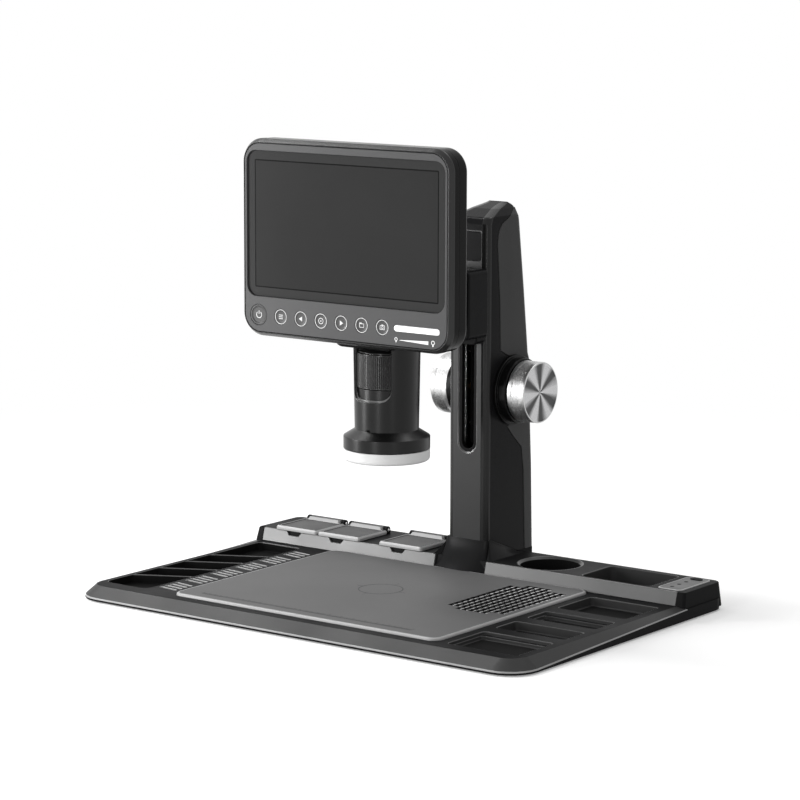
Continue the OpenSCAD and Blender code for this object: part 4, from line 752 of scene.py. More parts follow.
class MICROSCOPE_OT_lids(bpy.types.Operator):
    """Three flip lids: rounded plates with a sunk panel, a ridge and a hinge barrel between the ears"""
    bl_idname = "microscope.lids"
    bl_label = "Flip lids"

    def execute(self, context):
        low, top, edge, chamfer = 19.75, 22.85, 1.1, 0.28
        half, barrel_half, ear_front = 19.3, 14.6, 99.2
        rear = [(half, ear_front), (barrel_half, ear_front), (barrel_half, HINGE_Y)]
        outline = [(-half, LID_FRONT), (half, LID_FRONT), *rear, *[(-x, y) for x, y in rear[::-1]]]
        side = bend([(-chamfer, low), (0, low + 0.3), (0, top - edge), (-edge, top)], [0.2, 1.0], 4)
        barrel = [(2.2, -barrel_half), (2.6, -14.2), (2.6, 14.2), (2.2, barrel_half)]
        for name, x in zip(("lid_1", "lid_2", "lid_3"), LID_X):
            s = Shape()
            ring = shape_ring(np.add(outline, (x, 0)), [2, 2, 1.2, 0.4, 1.2, 1.2, 0.4, 1.2], 4)
            s.fill(ring(-chamfer), low, down=True)
            # The rounded edge takes the light grey second finish as a painted highlight
            s.grid(loft(ring, side), mark=1)
            panel = box_ring(33.6, 29.4, 1.6, (x, LID_FRONT + 17.6))
            # The sunk panel's rim is light as a painted highlight
            sunk = s.pocket(panel, top, top - 0.5, edge=0.5, foot=0.4, marks=(1, 0, 0))
            s.fill(ring(-edge), top, [sunk])
            ridge = box_ring(29.2, 6.6, 0.5, (x, 100.2))
            # The ridge's sides are light as a painted highlight, its top as the lid
            s.solid(ridge, [(0, top - 0.2), (0, top), (-1.2, 24.9)], mark=1, top=0)
            s.face(RIGHT, (x, HINGE_Y, HINGE_Z))
            s.lathe([(0, -barrel_half), *barrel, (0, barrel_half)], 32)
            piece(name, s, ["lid_grey", "lid_edge"], name)
        return {"FINISHED"}


class MICROSCOPE_OT_controls(bpy.types.Operator):
    """Control plate on the deck with three domed lights and an oval button"""
    bl_idname = "microscope.controls"
    bl_label = "Deck controls"

    def execute(self, context):
        x, y = PLATE_AT
        low, top = 18.0, 20.0
        lights, button = [(x - 1.8, y + along) for along in (-13, -4, 5.4)], (x, y + 16)
        s = Shape()
        ring = box_ring(19.5, 42, 4, PLATE_AT, 6)
        s.fill(ring(0), low, down=True)
        # The plate's rounded edge takes the light grey second finish as a painted highlight
        s.grid(loft(ring, bend([(0, low), (0, top), (-1.0, top)], 0.5)), mark=1)
        openings = [box_ring(3.0, 3.0, 1.48, at, 6) for at in lights] + [box_ring(9.6, 5.2, 2.58, button, 6)]
        for opening in openings:
            s.grid(loft(opening, [(0.25, top), (0, top - 0.25), (0, low)]))
        s.fill(ring(-1.0), top, [opening(0.25) for opening in openings])
        piece("control_plate", s, ["plate_grey", "lid_edge"], "stand")
        s = Shape()
        for at in lights:
            s.face(UP, (*at, 0))
            s.lathe([(0, 15.3), (1.4, 15.3), (1.4, 19.7), (1.25, 19.92), (0.8, 20.06), (0, 20.1)], 24)
        piece("status_lights", s, "lens_dark", "stand", "light_white")
        s = Shape()
        oval = box_ring(9.4, 5, 2.49, button, 8)
        s.solid(oval, bend([(0, 16.9), (0, 20.6), (-0.9, 20.6), (-2.2, 20.35)], [0.45, 0.6], 4))
        piece("base_button", s, "lens_dark", "base_button", "key_dark")
        return {"FINISHED"}


# ---- Column ----
# The slot's rim is lighter than the column as a painted highlight
COLUMN_FINISHES = ["column_black", "edge_bright", "seat_black", "column_edge", "column_front"]
COLUMN_SIDE, SLOT_RIM_HIGHLIGHT, SLOT_SEAT, COLUMN_CORNER, COLUMN_FACE = range(5)
# Heights above the deck: where the roof starts, where the sides start to draw in, and the roof's flat end
ROOF_LOW, DRAW_IN, ROOF_FLAT = 236, 245.4, 249.9
# Height above the deck and depth behind the column's front: the rear, and the seam between the shells
REAR_EDGE = np.array([[0, 62.5], [60.8, 60.5], [100.6, 58], [145.8, 54.5], [191, 49], [240.1, 42.4],
                      [248, 41.2], [252, 39.6], [253.9, 37]])
SEAM_EDGE = np.array([[0, 48.6], [58.7, 46.2], [75.9, 43.4], [86.3, 31.8], [93.4, 25], [98, 47], [102, 50],
                      [136.4, 50], [140.4, 47], [145, 25], [149.2, 16.3], [185.9, 14.8], [214.8, 12.5],
                      [225.5, 11.4], [232.7, 12.3], [236.8, 14.1], [240.1, 17.1], [244.2, 26.5], [259.5, 60]])
# Depth and height of the roof's line from the front's top edge to the rear
ROOF = bend([(0, ROOF_LOW), (0, 240.4), (2, 244.9), (18, 250.0), (35, 253.7)], [3.5, 3.5, 20], 5)


def column_levels():
    """Heights above the deck with the depth of front, seam and rear there, and the half width, which
    shrinks over the two slopes of 42 degrees that end the sides."""
    straight = np.unique(np.concatenate([[0.0], np.arange(12, ROOF_LOW, 12), SEAM_EDGE[:15, 0]]))
    roof = np.concatenate([ROOF[:, 1], np.interp(np.linspace(0, 1, 9)[1:-1], [0, 1], ROOF[-2:, 1])])
    levels = [straight[straight < ROOF_LOW], roof, [DRAW_IN, ROOF_FLAT]]
    z = np.unique(np.round(np.concatenate(levels), 3))
    front = np.interp(z, ROOF[:, 1], ROOF[:, 0])
    rear = np.interp(z, *REAR_EDGE.T)
    seam = np.minimum(np.interp(z, *SEAM_EDGE.T), rear)
    soft = 0.9
    half = 17 - np.log1p(np.exp((z - DRAW_IN) / soft)) * soft / tan(radians(42))
    return z, front, seam, rear, half


def strip(half, front, seam, z, r):
    """One level of the front shell, from its left seam round the front to its right seam: the corner
    arcs have radius r, and each end turns inward to show the wall."""
    depth = np.maximum(seam - front, 0.02)
    r = np.minimum(r, np.minimum(depth * 0.7, half * 0.5))
    t = np.linspace(0, pi / 2, 7)[:, None]
    corner_x, corner_y = half - r + r * np.sin(t), front + r - r * np.cos(t)
    e = np.minimum(0.5, depth * 0.2)
    tail_x = np.stack([half, half - 0.12, half - e, half - 3 * e])
    tail_y = np.stack([seam - e, seam - e * 0.25, seam, seam])
    x, y = np.concatenate([corner_x, tail_x]), np.concatenate([corner_y, tail_y])
    z = np.broadcast_to(z, x.shape)
    side = np.stack([x, y, z], -1).transpose(1, 0, 2)
    mirror = side[:, ::-1] * [-1, 1, 1]
    return mirror, side


def column_front(s):
    """Flat front of the column, with the slot in its stepped recess and the recess above the carriage."""
    s.face(FRONT, (0, COL_Y, 0))
    half, low, top = 12, DECK_Z, DECK_Z + ROOF_LOW
    face = shape_ring([(-half, low), (half, low), (half, top), (-half, top)], 0.01, 1)(0)
    slot_at, step, deep, strip_deep = (0, 162.85), -1, -4.6, -12.4
    outer = box_ring(16, 132.5, (7.9, 7.9, 0.6, 0.6), (0, 161.75), 8)
    inner = box_ring(10.4, 128.9, (5.15, 5.15, 0.6, 0.6), slot_at, 8)
    # The slot's stepped rim takes the lighter finish as a painted highlight
    s.grid(loft(outer, bend([(0.45, 0), (0, 0), (0, step), (-0.4, step)], [0.4, 0.3])), mark=SLOT_RIM_HIGHLIGHT)
    s.fill(outer(-0.4), step, [inner(0.3)])
    s.grid(loft(inner, bend([(0.3, step), (0, step), (0, deep)], 0.28)), mark=SLOT_SEAT)
    # Dust strip behind the slot
    s.fill(box_ring(12, 128.5, 5.9, slot_at, 8)(0), strip_deep, mark=SLOT_SEAT)
    recess = s.pocket(box_ring(22.6, 20.5, 1.6, (0, 244.3), 4), 0, -1.2, edge=0.4, foot=0.3)
    s.fill(face, 0, [outer(0.45), recess], mark=COLUMN_FACE)
    s.face(UP)


class MICROSCOPE_OT_column(bpy.types.Operator):
    """Column in two shells: a slotted front with a sloping roof, and the rear cover"""
    bl_idname = "microscope.column"
    bl_label = "Column"

    def execute(self, context):
        z, front, seam, rear, half = column_levels()
        at = np.array([0, COL_Y, DECK_Z])
        s = Shape().face(UP, at)
        left, right = strip(half, front, seam, z, 5.0)
        s.grid(left[:, :4], closed=False).grid(left[:, 3:], closed=False, mark=COLUMN_CORNER)
        s.grid(right[:, :7], closed=False, mark=COLUMN_CORNER).grid(right[:, 6:], closed=False)
        roof = z >= ROOF_LOW - 0.1
        s.grid(np.stack([left[roof, -1], right[roof, 0]], 1), closed=False)
        back = z >= ROOF_FLAT - 0.1
        s.grid(np.stack([right[back, -1], left[back, 0]], 1), closed=False)
        column_front(s)
        # Upper seat of the guide rods inside
        s.solid(box_ring(29, 22, 2, (0, COL_Y + 14)), [(0, 242.2), (0, 247.2)])
        piece("column_body", s, COLUMN_FINISHES, "stand")

        # Rear cover: from the seam, behind a narrow gap, round two soft corners at the rear
        s = Shape().face(UP, at)
        keep = seam + 1.2 < rear
        z, start, end = z[keep], seam[keep] + 0.7, rear[keep] + 0.3
        half = half[keep] + 0.3 * np.clip((252 - z) / 9, 0, 1)
        depth = end - start
        r, e = np.minimum(6.3, depth * 0.6), np.minimum(0.5, depth * 0.2)
        t = np.linspace(0, pi / 2, 8)[:, None]
        lip_x = np.stack([half - 3 * e, half - e, half - 0.12, half])
        lip_y = np.stack([start, start, start + e * 0.25, start + e])
        x = np.concatenate([lip_x, half - r + r * np.cos(t)])
        y = np.concatenate([lip_y, end - r + r * np.sin(t)])
        side = np.stack([x, y, np.broadcast_to(z, x.shape)], -1).transpose(1, 0, 2)
        s.grid(np.concatenate([side, side[:, ::-1] * [-1, 1, 1]], 1), closed=False)
        # Boss that the lock knob sits on
        s.face(REAR, (0, 0, LOCK_Z))
        s.lathe([(8.5, 112), (8.5, 126.1), (8.0, 126.7), (5.4, 126.7), (5.4, 125.6), (0, 125.6)], 48)
        piece("column_cover", s, "cover_grey", "stand")
        return {"FINISHED"}


class MICROSCOPE_OT_skirt(bpy.types.Operator):
    """Flared skirt round the column's foot"""
    bl_idname = "microscope.skirt"
    bl_label = "Foot skirt"

    def execute(self, context):
        # The foot line goes forward along the left side, round the bowed front and back along the right.
        # Each point rises to the column's line, and (1 - v)^1.5 of its way out is left at height share v
        side_y = np.array([108.6, 98, 88, 78, 70, 66.5, 64.7, 62.4])
        bow = np.linspace(-1, 1, 25)
        side_x = np.interp(side_y, [62, 66], [22.4, 25])
        foot_x = np.concatenate([-side_x, 22 * bow, side_x[::-1]])
        foot_y = np.concatenate([side_y, DECK_Y - 4.7 * (1 - bow ** 2), side_y[::-1]])
        foot_z = np.interp(foot_y, [DECK_Y, DECK_Y + 2.4], [RIM_Z + 0.1, DECK_Z + 0.1])
        half, corner_y, count = 17.9, 74.5, len(side_y)
        top_x = np.concatenate([np.full(count, -half), half * np.sin(bow * pi / 2), np.full(count, half)])
        top_y = np.concatenate([side_y, corner_y - 3.6 * np.cos(bow * pi / 2) ** 0.45, side_y[::-1]])
        top_y = np.where(np.abs(top_x) > half - 0.1, np.maximum(top_y, corner_y), top_y)
        top_z = np.interp(top_y, [71, 76.5, 108.6], [32.8, 32.8, 20.2])
        v = np.linspace(0, 1, 12)[:, None]
        share = (1 - v) ** 1.5
        x, y = top_x + (foot_x - top_x) * share, top_y + (foot_y - top_y) * share
        rows = np.stack([x, y, foot_z + (top_z - foot_z) * v], -1)
        under = rows[:1] * [0.2, 0, 1] + [0, 92, 0]
        inner = np.stack([top_x * 0.93, np.maximum(top_y, 75) + 1.0, top_z], -1)[None]
        s = Shape()
        s.grid(np.concatenate([under, rows, inner]), closed=False)
        piece("foot_skirt", s, "column_black", "stand", sharp=40)
        return {"FINISHED"}


# ---- Knobs ----
class MICROSCOPE_OT_drive(bpy.types.Operator):
    """Focus knobs with turned faces and knurled rims, their collars, and the lock knob"""
    bl_idname = "microscope.drive"
    bl_label = "Knobs"

    def execute(self, context):
        depth = context.scene.microscope_sizes.knurl / MM
        # Heights are distances from the middle of the shaft
        collar = bend([(7, 17.02), (25.5, 17.02), (25.5, 19.5), (23.5, 19.5), (23.5, 26), (21.5, 26),
                       (21.5, 19), (7, 19)], [0.01, 0.6, 0.3, 0.8, 0.3, 0.3], 4)
        r, band_low, band_high = 22, 29.6, 38.0
        wall = bend([(9.5, 19.0), (9.5, 26.3), (r, 26.3), (r, band_low)], [0.2, 0.8], 4)
        face = bend([(r, band_high), (r, 41), (20.9, 41), (20.2, 40.5), (2.2, 40.5), (2.0, 40.2), (0, 40.2)],
                    [0.6, 0.3, 0.5, 0.1, 0.1], 4)
        band = np.linspace(band_low, band_high, 15)
        # The profile's points up to this one belong to the rim, those from it on to the turned face
        face_start = 6

        def knurl(t, z):
            """Two crossed waves along the rim, faded at the ends of the band."""
            fade = np.clip(np.minimum(z - band_low - 0.2, band_high - 0.2 - z) / 0.4, 0, 1)
            return -depth * fade * (0.5 + 0.5 * np.cos(96 * t) * np.cos((z - band_low) * pi / 0.6))

        collars = Shape()
        for side, turn in (("right", RIGHT), ("left", LEFT)):
            collars.face(turn, (0, DRIVE_Y, DRIVE_Z)).lathe(collar, 96)
            s = Shape().face(turn, (0, DRIVE_Y, DRIVE_Z))
            s.lathe([(0, 19.0), *wall], 192, mark=1)
            s.lathe([(r, z) for z in band], 192, mark=2, wave=knurl)
            s.lathe(face[:face_start + 1], 192, mark=1)
            s.lathe(face[face_start:], 192)
            piece(f"knob_{side}", s, ["knob_aluminium", "knob_rim", "knob_knurl"], "knobs")
        piece("knob_collars", collars, "collar_black", "stand")

        def lobes(t, z):
            """Sixteen shallow hollows round the lock knob, faded at both ends."""
            fade = np.clip((z - 0.8) / 0.8, 0, 1) * np.clip((8.6 - z) / 0.8, 0, 1)
            return -0.45 * fade * (0.5 + 0.5 * np.cos(16 * t)) ** 2

        s, shaft = Shape().face(REAR, (0, LOCK_Y, LOCK_Z)), 2.5
        body = bend([(shaft, -13), (shaft, 0), (7.4, 0), (7.5, 0.8), (7.5, 8.6), (5.6, 10.5), (0, 10.95)],
                    [0.1, 0.4, 0.2, 1.2, 1.4], 4)
        between = np.linspace(0, len(body) - 1, 3 * len(body))
        finer = [np.interp(between, np.arange(len(body)), column) for column in body.T]
        s.lathe(np.column_stack(finer), 128, wave=lobes)
        s.fill(disc_ring(shaft, n=128)(0), -13, down=True)
        piece("lock_knob", s, "collar_black", "lock_knob")
        return {"FINISHED"}


# ---- Head: carriage, arm, camera and barrel ----
def rounded_block(s, ring, low, high, r):
    """A block along the frame's own z axis with both rims rounded by r."""
    edge = bend([(-r, low), (0, low), (0, high), (-r, high)], r * 0.98, 4)
    return s.solid(ring, edge)


class MICROSCOPE_OT_head(bpy.types.Operator):
    """Carriage on the column, the arm and the camera housing behind the screen"""
    bl_idname = "microscope.head"
    bl_label = "Carriage and arm"

    def execute(self, context):
        # Heights are distances in front of the frame's middle plane; behind it they are negative
        arm_rear, arm_front, neck_rear, slider_rear = -46.95, -1.95, -75.5, -85
        s = Shape().face(FRONT)
        rounded_block(s, box_ring(37, 49, 4, (0, 204.7), 6), -71.05, arm_rear, 1.6)
        rounded_block(s, box_ring(32, 18, 5, (0, 184.2), 6), -71.05, -60.45, 1.0)
        s.solid(box_ring(9.6, 37, 0.4, (0, 204.2)), [(0, neck_rear), (0, -68)])
        s.solid(box_ring(28, 37, 0.4, (0, 204.2)), [(0, slider_rear), (0, neck_rear)])
        piece("carriage", s, "column_black", "head")
        s = Shape().face(FRONT)
        s.solid(box_ring(28, 32, 5, (0, 206.5), 6), [(0, arm_rear), (0, arm_front)])
        piece("head_arm", s, "column_black", "head")
        s = Shape().face(FRONT)
        rounded_block(s, box_ring(52, 52, 7, (0, 210), 6), arm_front, 50.5, 1.8)
        piece("camera_housing", s, "shell_black", "head")
        return {"FINISHED"}


class MICROSCOPE_OT_barrel(bpy.types.Operator):
    """Optical barrel: a sleeve with a U-shaped opening, the fluted focus ring, flange and diffuser"""
    bl_idname = "microscope.barrel"
    bl_label = "Barrel"

    def execute(self, context):
        sleeve()
        s, r, low, high = Shape().face(UP, (0, AXIS_Y, 0)), 20.7, 156.2, 178.8
        depth = context.scene.microscope_sizes.knurl / MM * 2

        def flutes(t, z):
            """Ninety-six upright flutes, faded at both ends of the ring."""
            fade = np.clip((high - z) / 0.3, 0, 1) * np.clip((z - low) / 0.3, 0, 1)
            return -depth * fade * (0.5 + 0.5 * np.cos(96 * t))

        body = bend([(17.2, 155.6), (r, 155.6), (r, 179.4), (17.1, 179.4)], [0.3, 0.4], 3)
        fluted = [(r, z) for z in (low, low + 0.3, 165, 173, high - 0.3, high)]
        s.lathe(np.concatenate([body[:5], fluted, body[5:]]), 480, wave=flutes)
        piece("focus_ring", s, "ring_black", "focus_ring")

        s = Shape().face(UP, (0, AXIS_Y, 0))
        s.lathe(bend([(13, 115.4), (28, 115.4), (28, 112.6), (30, 112.6), (30, 121.3), (22.4, 126.0),
                      (22.0, 126.3), (13, 126.3)], [0.2, 0.2, 0.6, 0.8, 0.4, 0.1], 4), 96)
        piece("light_flange", s, "barrel_black", "head")
        s = Shape().face(UP, (0, AXIS_Y, 0))
        ring = bend([(14, 110.8), (14, 104.4), (29.9, 104.4), (29.9, 112.5), (27, 112.5)], [0.5, 2.2, 0.4], 4)
        s.lathe(ring, 96)
        piece("light_diffuser", s, "diffuser_white", "head")
        return {"FINISHED"}


def sleeve():
    """The barrel's sleeve, a slight cone from flange to camera. A U-shaped opening in front, with
    quarter circles for its lower corners, shows the focus ring behind two stepped walls."""
    s = Shape().face(UP, (0, AXIS_Y, 0))
    low, high, low_r, high_r, mean_r = 125.7, 184.0, 22.2, 23.2, 22.75
    half, foot, r = 16.3, 146.6, 9.0

    def wall(angle, z):
        """Point of the cone at an angle from the front and a height."""
        radius = low_r + (high_r - low_r) * (z - low) / (high - low)
        return np.stack([radius * np.sin(angle), -radius * np.cos(angle), z + 0 * angle], -1)

    # In front, each column of faces ends on the U
    edge, quarter = np.arcsin(half / mean_r), np.linspace(0, pi / 2, 9)
    across = np.concatenate([-half + r - r * np.cos(quarter), np.linspace(-half + r, half - r, 7)[1:-1],
                             half - r + r * np.sin(quarter)])
    over = np.clip(np.abs(across) - (half - r), 0, r)
    bottom = foot + r - np.sqrt(np.maximum(r * r - over * over, 0))
    angle = across / half * edge
    rows = np.linspace(0, 1, 9)[:, None]
    s.grid(wall(angle[None], low + (bottom - low) * rows), closed=False)
    # The rest goes round the back at full height
    up = np.linspace(bottom[0], high, 7)[1:]
    heights = np.concatenate([low + (bottom[0] - low) * rows[:, 0], up])[:, None]
    s.grid(wall(np.linspace(edge, 2 * pi - edge, 81)[None], heights), closed=False)
    # Walls of the opening: down the left side, round the U and up the right side. They take the lighter
    # second finish as a painted highlight
    path_x = np.concatenate([np.full(6, -half), across, np.full(6, half)])
    path_z = np.concatenate([up[::-1], bottom, up])
    outer = wall(np.concatenate([np.full(6, -edge), angle, np.full(6, edge)]), path_z)
    along_x, along_z = np.gradient(path_x), np.gradient(path_z)
    inward = unit(np.stack([-along_z, 0 * along_x, along_x], -1))
    lip = outer + [0, 0.15, 0] + inward * 0.15
    step = lip + [0, 1.5, 0]
    ledge = step + inward * 1.3
    deep = ledge + [0, 1.2, 0]
    deep[:, 1] = np.maximum(deep[:, 1], -17.0)
    end = deep * [1, 0, 1] + [0, -15.5, 0]
    s.grid(np.stack([end, deep, ledge, step, lip, outer]), closed=False, mark=1)
    # Lining under and over the focus ring, and the foot's end face
    s.lathe(bend([(17.2, 144), (20.0, 144), (20.0, 155.2), (17.4, 155.2)], 0.5, 3), 96)
    upper = [(17.4, 179.8), (20.2, 179.8), (20.2, 180.6), (17.2, 183.4), (17.2, high)]
    s.lathe(bend(upper, [0.3, 0.6, 0.3], 5), 96)
    s.lathe([(20.0, low), (low_r, low)], 96)
    piece("barrel_sleeve", s, ["barrel_black", "barrel_edge"], "head")


# ---- Display ----
# The rim's finish is lighter than the shell as a painted highlight, besides its real gloss
DISPLAY_FINISHES = ["bezel_grey", "shell_black", "key_mark", "rim_gloss"]
BEZEL, SHELL, PRINTED, RIM_GLOSS_HIGHLIGHT = range(4)
WINDOW_AT, BAR_AT = (0, 266.9), (61, 204.4)
KEYS = ("key_menu", "key_left", "key_select", "key_right", "key_files", "key_camera")
KEY_X, KEY_Z, KEY_R = [-54.5 + 17.4 * k for k in range(6)], 204, 5.3
POWER_X, POWER_R, BORE_GAP = -74.0, 7.2, 0.12
# How far print on the screen's front and its keys rises
LIFT = 0.06


def bar(s, x, z, w, h, top, r=0.2, mark=1):
    """A thin raised bar or dot of print about (x, z) in the front's plane."""
    ring = box_ring(w, h, min(r, w / 2.01, h / 2.01), (x, z), 3)
    s.solid(ring, [(0, top - SUNK), (0, top + LIFT)], mark=mark)


def hoop(s, x, z, r, width, top, mark=1, a0=0.0, a1=2 * pi):
    """A thin raised ring or arc of print: its flat section is carried along the circle."""
    whole = a1 - a0 > 6.28
    t = np.linspace(a0, a1, 33)[: 32 if whole else 33]
    outer, inner, low, high = r + width / 2, r - width / 2, top - SUNK, top + LIFT
    section = np.array([(outer, low), (outer, high), (inner, high), (inner, low)])
    radius, height = section[:, :1], np.broadcast_to(section[:, 1:], (4, len(t)))
    s.grid(np.stack([x + radius * np.cos(t), z + radius * np.sin(t), height], -1), closed=whole, mark=mark)


def wedge(s, corners, top, mark=1):
    """A thin raised polygon of print with slightly rounded corners."""
    s.solid(shape_ring(corners, 0.12, 2), [(0, top - SUNK), (0, top + LIFT)], mark=mark)


# Bars of two symbols: offset across and up, width and height
FOLDER = ((0, -1.4, 4.0, 0.4), (0, 1.0, 4.0, 0.4), (-1.8, -0.2, 0.4, 2.6), (1.8, -0.2, 0.4, 2.6),
          (-0.9, 1.5, 2.0, 0.5))
CAMERA = ((0, -1.5, 4.2, 0.4), (0, 1.2, 4.2, 0.4), (-1.9, -0.1, 0.4, 2.8), (1.9, -0.1, 0.4, 2.8),
          (0, 1.65, 1.6, 0.5))


def icon(s, kind, x, z, top):
    """Plain symbols: power, menu bars, arrows, a dot in a ring, a folder and a camera."""
    if kind == "power_button":
        hoop(s, x, z, 2.2, 0.5, top, a0=radians(125), a1=radians(415))
        bar(s, x, z + 1.7, 0.5, 2.4, top)
    elif kind == "key_menu":
        for k in (-1, 0, 1):
            bar(s, x, z + 1.25 * k, 3.6, 0.45, top)
    elif kind == "key_left":
        wedge(s, [(x + 1.1, z - 1.7), (x + 1.1, z + 1.7), (x - 1.7, z)], top)
    elif kind == "key_right":
        wedge(s, [(x - 1.1, z + 1.7), (x - 1.1, z - 1.7), (x + 1.7, z)], top)
    elif kind == "key_select":
        hoop(s, x, z, 1.9, 0.45, top)
        bar(s, x, z, 1.1, 1.1, top, r=0.54)
    else:
        for across, up, w, h in FOLDER if kind == "key_files" else CAMERA:
            bar(s, x + across, z + up, w, h, top, r=0.1)
        if kind == "key_camera":
            hoop(s, x, z - 0.15, 0.8, 0.35, top)


class MICROSCOPE_OT_display(bpy.types.Operator):
    """Screen: bezel with its openings, rear shell, cover glass with a printed border, and white bar"""
    bl_idname = "microscope.display"
    bl_label = "Display"

    def execute(self, context):
        top, seam = -FACE_Y, -SEAM_Y
        outline = box_ring(178, 135.8, 16, (0, DISPLAY_Z - 0.5), 12)
        s = Shape().face(FRONT)
        s.fill(outline(-2.0), seam, down=True, mark=SHELL)
        # Side, polished rounded rim, thin groove and the edge of the face. The rim's colour is lighter than
        # the shell as a painted highlight, on top of its real gloss
        rim = bend([(-2.0, seam), (0, seam), (0, top - 3.4), (-2.2, top - 0.15), (-2.8, top - 0.2),
                    (-2.9, top - 0.8), (-3.3, top - 0.8)], [0.4, 2.2, 0.3, 0.1, 0.1], 5)
        rows = loft(outline, rim)
        s.grid(rows[:8], mark=SHELL).grid(rows[7:25], mark=RIM_GLOSS_HIGHLIGHT).grid(rows[24:], mark=SHELL)
        s.grid(loft(outline, bend([(-3.3, top - 0.8), (-3.4, top), (-3.8, top)], 0.25, 3)), mark=BEZEL)
        openings = [(box_ring(168, 100.2, 8, WINDOW_AT, 10), 1.4)]
        openings += [(box_ring(37.9, 4.5, 2.24, BAR_AT, 8), 0.9)]
        openings += [(disc_ring(KEY_R + BORE_GAP, (x, KEY_Z), 48), 3) for x in KEY_X]
        openings += [(disc_ring(POWER_R + BORE_GAP, (POWER_X, KEY_Z), 48), 3)]
        for ring, depth in openings:
            s.grid(loft(ring, bend([(0.3, top), (0, top), (0, top - depth)], 0.28, 3)), mark=BEZEL)
        s.fill(outline(-3.8), top, [ring(0.3) for ring, depth in openings])
        # Plain brightness marks: a small lamp, a growing wedge and a bigger lamp
        for x, size in ((44.2, 0.8), (74.6, 1.0)):
            hoop(s, x, 197.2, 1.25 * size, 0.5, top, mark=PRINTED)
            bar(s, x, 197.2 - 2.0 * size, 1.1 * size, 1.3 * size, top, mark=PRINTED)
        wedge(s, [(47.2, 196.6), (70.8, 195.5), (70.8, 197.9), (47.2, 196.9)], top, mark=PRINTED)
        piece("display_bezel", s, DISPLAY_FINISHES, "head")

        s, low, back = Shape().face(REAR), -62.9, BACK_Y
        s.fill(outline(-1.6), low, down=True)
        side = [(-1.6, low), (-0.2, low), (-0.2, -53.6), (-6.0, back), (-9.0, back)]
        s.grid(loft(outline, bend(side, [0.5, 3.0, 1.2], 5)))
        holes = [s.pocket(disc_ring(3.0, at, 32), back, back - 2.5, edge=0.3, foot=0.2)
                 for at in ((72, 314), (-72, 314), (63, 201.6), (-63, 201.6))]
        vents = [box_ring(14, 1.6, 0.79, (x, 216 + 3.4 * k), 3) for x in (-52, 52) for k in range(6)]
        holes += [s.pocket(vent, back, back - 1.2, edge=0.2, foot=0.1) for vent in vents]
        s.fill(outline(-9.0), back, holes)
        piece("display_shell", s, "shell_black", "head")

        s, glass = Shape().face(FRONT), top - 1.4
        ring = box_ring(167.8, 100.0, 7.9, WINDOW_AT, 10)
        s.fill(ring(0), glass - 1.5, down=True)
        s.grid(loft(ring, bend([(0, glass - 1.5), (0, glass), (-0.5, glass)], 0.3, 3)))
        line, picture = box_ring(155.9, 87.8, 0.8, WINDOW_AT, 2), box_ring(154.1, 86, 0.3, WINDOW_AT, 2)
        s.fill(ring(-0.5), glass, [line(0)])
        s.fill(line(0), glass, [picture(0)], mark=1)
        s.fill(picture(0), glass, mark=2)
        piece("screen_window", s, ["window_border", "window_line", "window_picture"], "head", "window_glass")

        s = Shape().face(FRONT)
        ring = box_ring(37.7, 4.3, 2.14, BAR_AT, 8)
        s.solid(ring, bend([(0, top - 1), (0, top - 0.02), (-1.2, top - 0.02)], 0.5, 4))
        piece("light_bar", s, "light_white", "head")
        return {"FINISHED"}


class MICROSCOPE_OT_keys(bpy.types.Operator):
    """Power button and six round keys, each with a thin ring and a plain symbol"""
    bl_idname = "microscope.keys"
    bl_label = "Keys"

    def execute(self, context):
        top = -FACE_Y - 0.2
        low, flange = top - 4.2, top - 3.1
        keys = [("power_button", POWER_X, POWER_R, 0.35)]
        keys += [(name, x, KEY_R, 0.15) for name, x in zip(KEYS, KEY_X)]
        for name, x, r, dish in keys:
            s = Shape().face(FRONT, (x, 0, KEY_Z))
            s.lathe([(0, low), (r + 0.9, low), (r + 0.9, top - 3.2), (r, flange)], 64)
            face = [(r, flange), (r, top), (r - 1.0, top), (r - 2.0, top - dish), (0, top - dish)]
            s.lathe(bend(face, [0.35, 0.5, 0.6], 4), 64)
            s.face(FRONT)
            if name in KEYS:
                hoop(s, x, KEY_Z, r - 0.42, 0.42, top - 0.02)
            icon(s, name, x, KEY_Z, top - dish)
            piece(name, s, ["key_dark", "key_print"], name)
        return {"FINISHED"}


# ---- Inside parts, camera and light ----
class MICROSCOPE_OT_inside(bpy.types.Operator):
    """Materials on the parts whose own surfaces show: screws, feet, rods, gears, boards and lens"""
    bl_idname = "microscope.inside"
    bl_label = "Inside parts"

    def execute(self, context):
        slots = {row["node"]: row["material_slot"] for row in frame["record"]["subparts"]}
        for name, obj in frame["nodes"].items():
            finish = {"window_glass": "window_border"}.get(slots[name], slots[name])
            obj.data.materials.clear()
            obj.data.materials.append(material(finish))
        return {"FINISHED"}


# Lamps in metres and watts: name, place, width and height, power and the point they face
LAMPS = (
    ("Key lamp", (-1.6, -0.1, 1.9), (0.7, 0.8), 31, (0, 0, 0.1)),
    ("Side strip", (-0.72, -0.63, 0.25), (0.14, 0.5), 7, (0, 0, 0.2)),
    ("Front strip", (0.1, -1.0, 0.27), (0.14, 0.54), 3, (0, 0, 0.2)),
    ("Right strip", (0.88, -0.6, 0.22), (0.05, 0.44), 0.6, (0, 0, 0.2)),
    ("Top lamp", (0.3, 0.9, 2.1), (1.2, 0.6), 8, (0, 0, 0.1)))
# The camera's place in metres, its yaw to the left, pitch down and roll in degrees, and its lens in mm
CAMERA_AT, CAMERA_TURNS, CAMERA_LENS = (1.24455, -1.670277, 0.47671), (36.83, 9.11, 0.16), 136.63


def aimed(position, target):
    """Turn that points an object's -Z axis from a position to a target."""
    return (Vector(target) - Vector(position)).to_track_quat("-Z", "Y").to_euler()


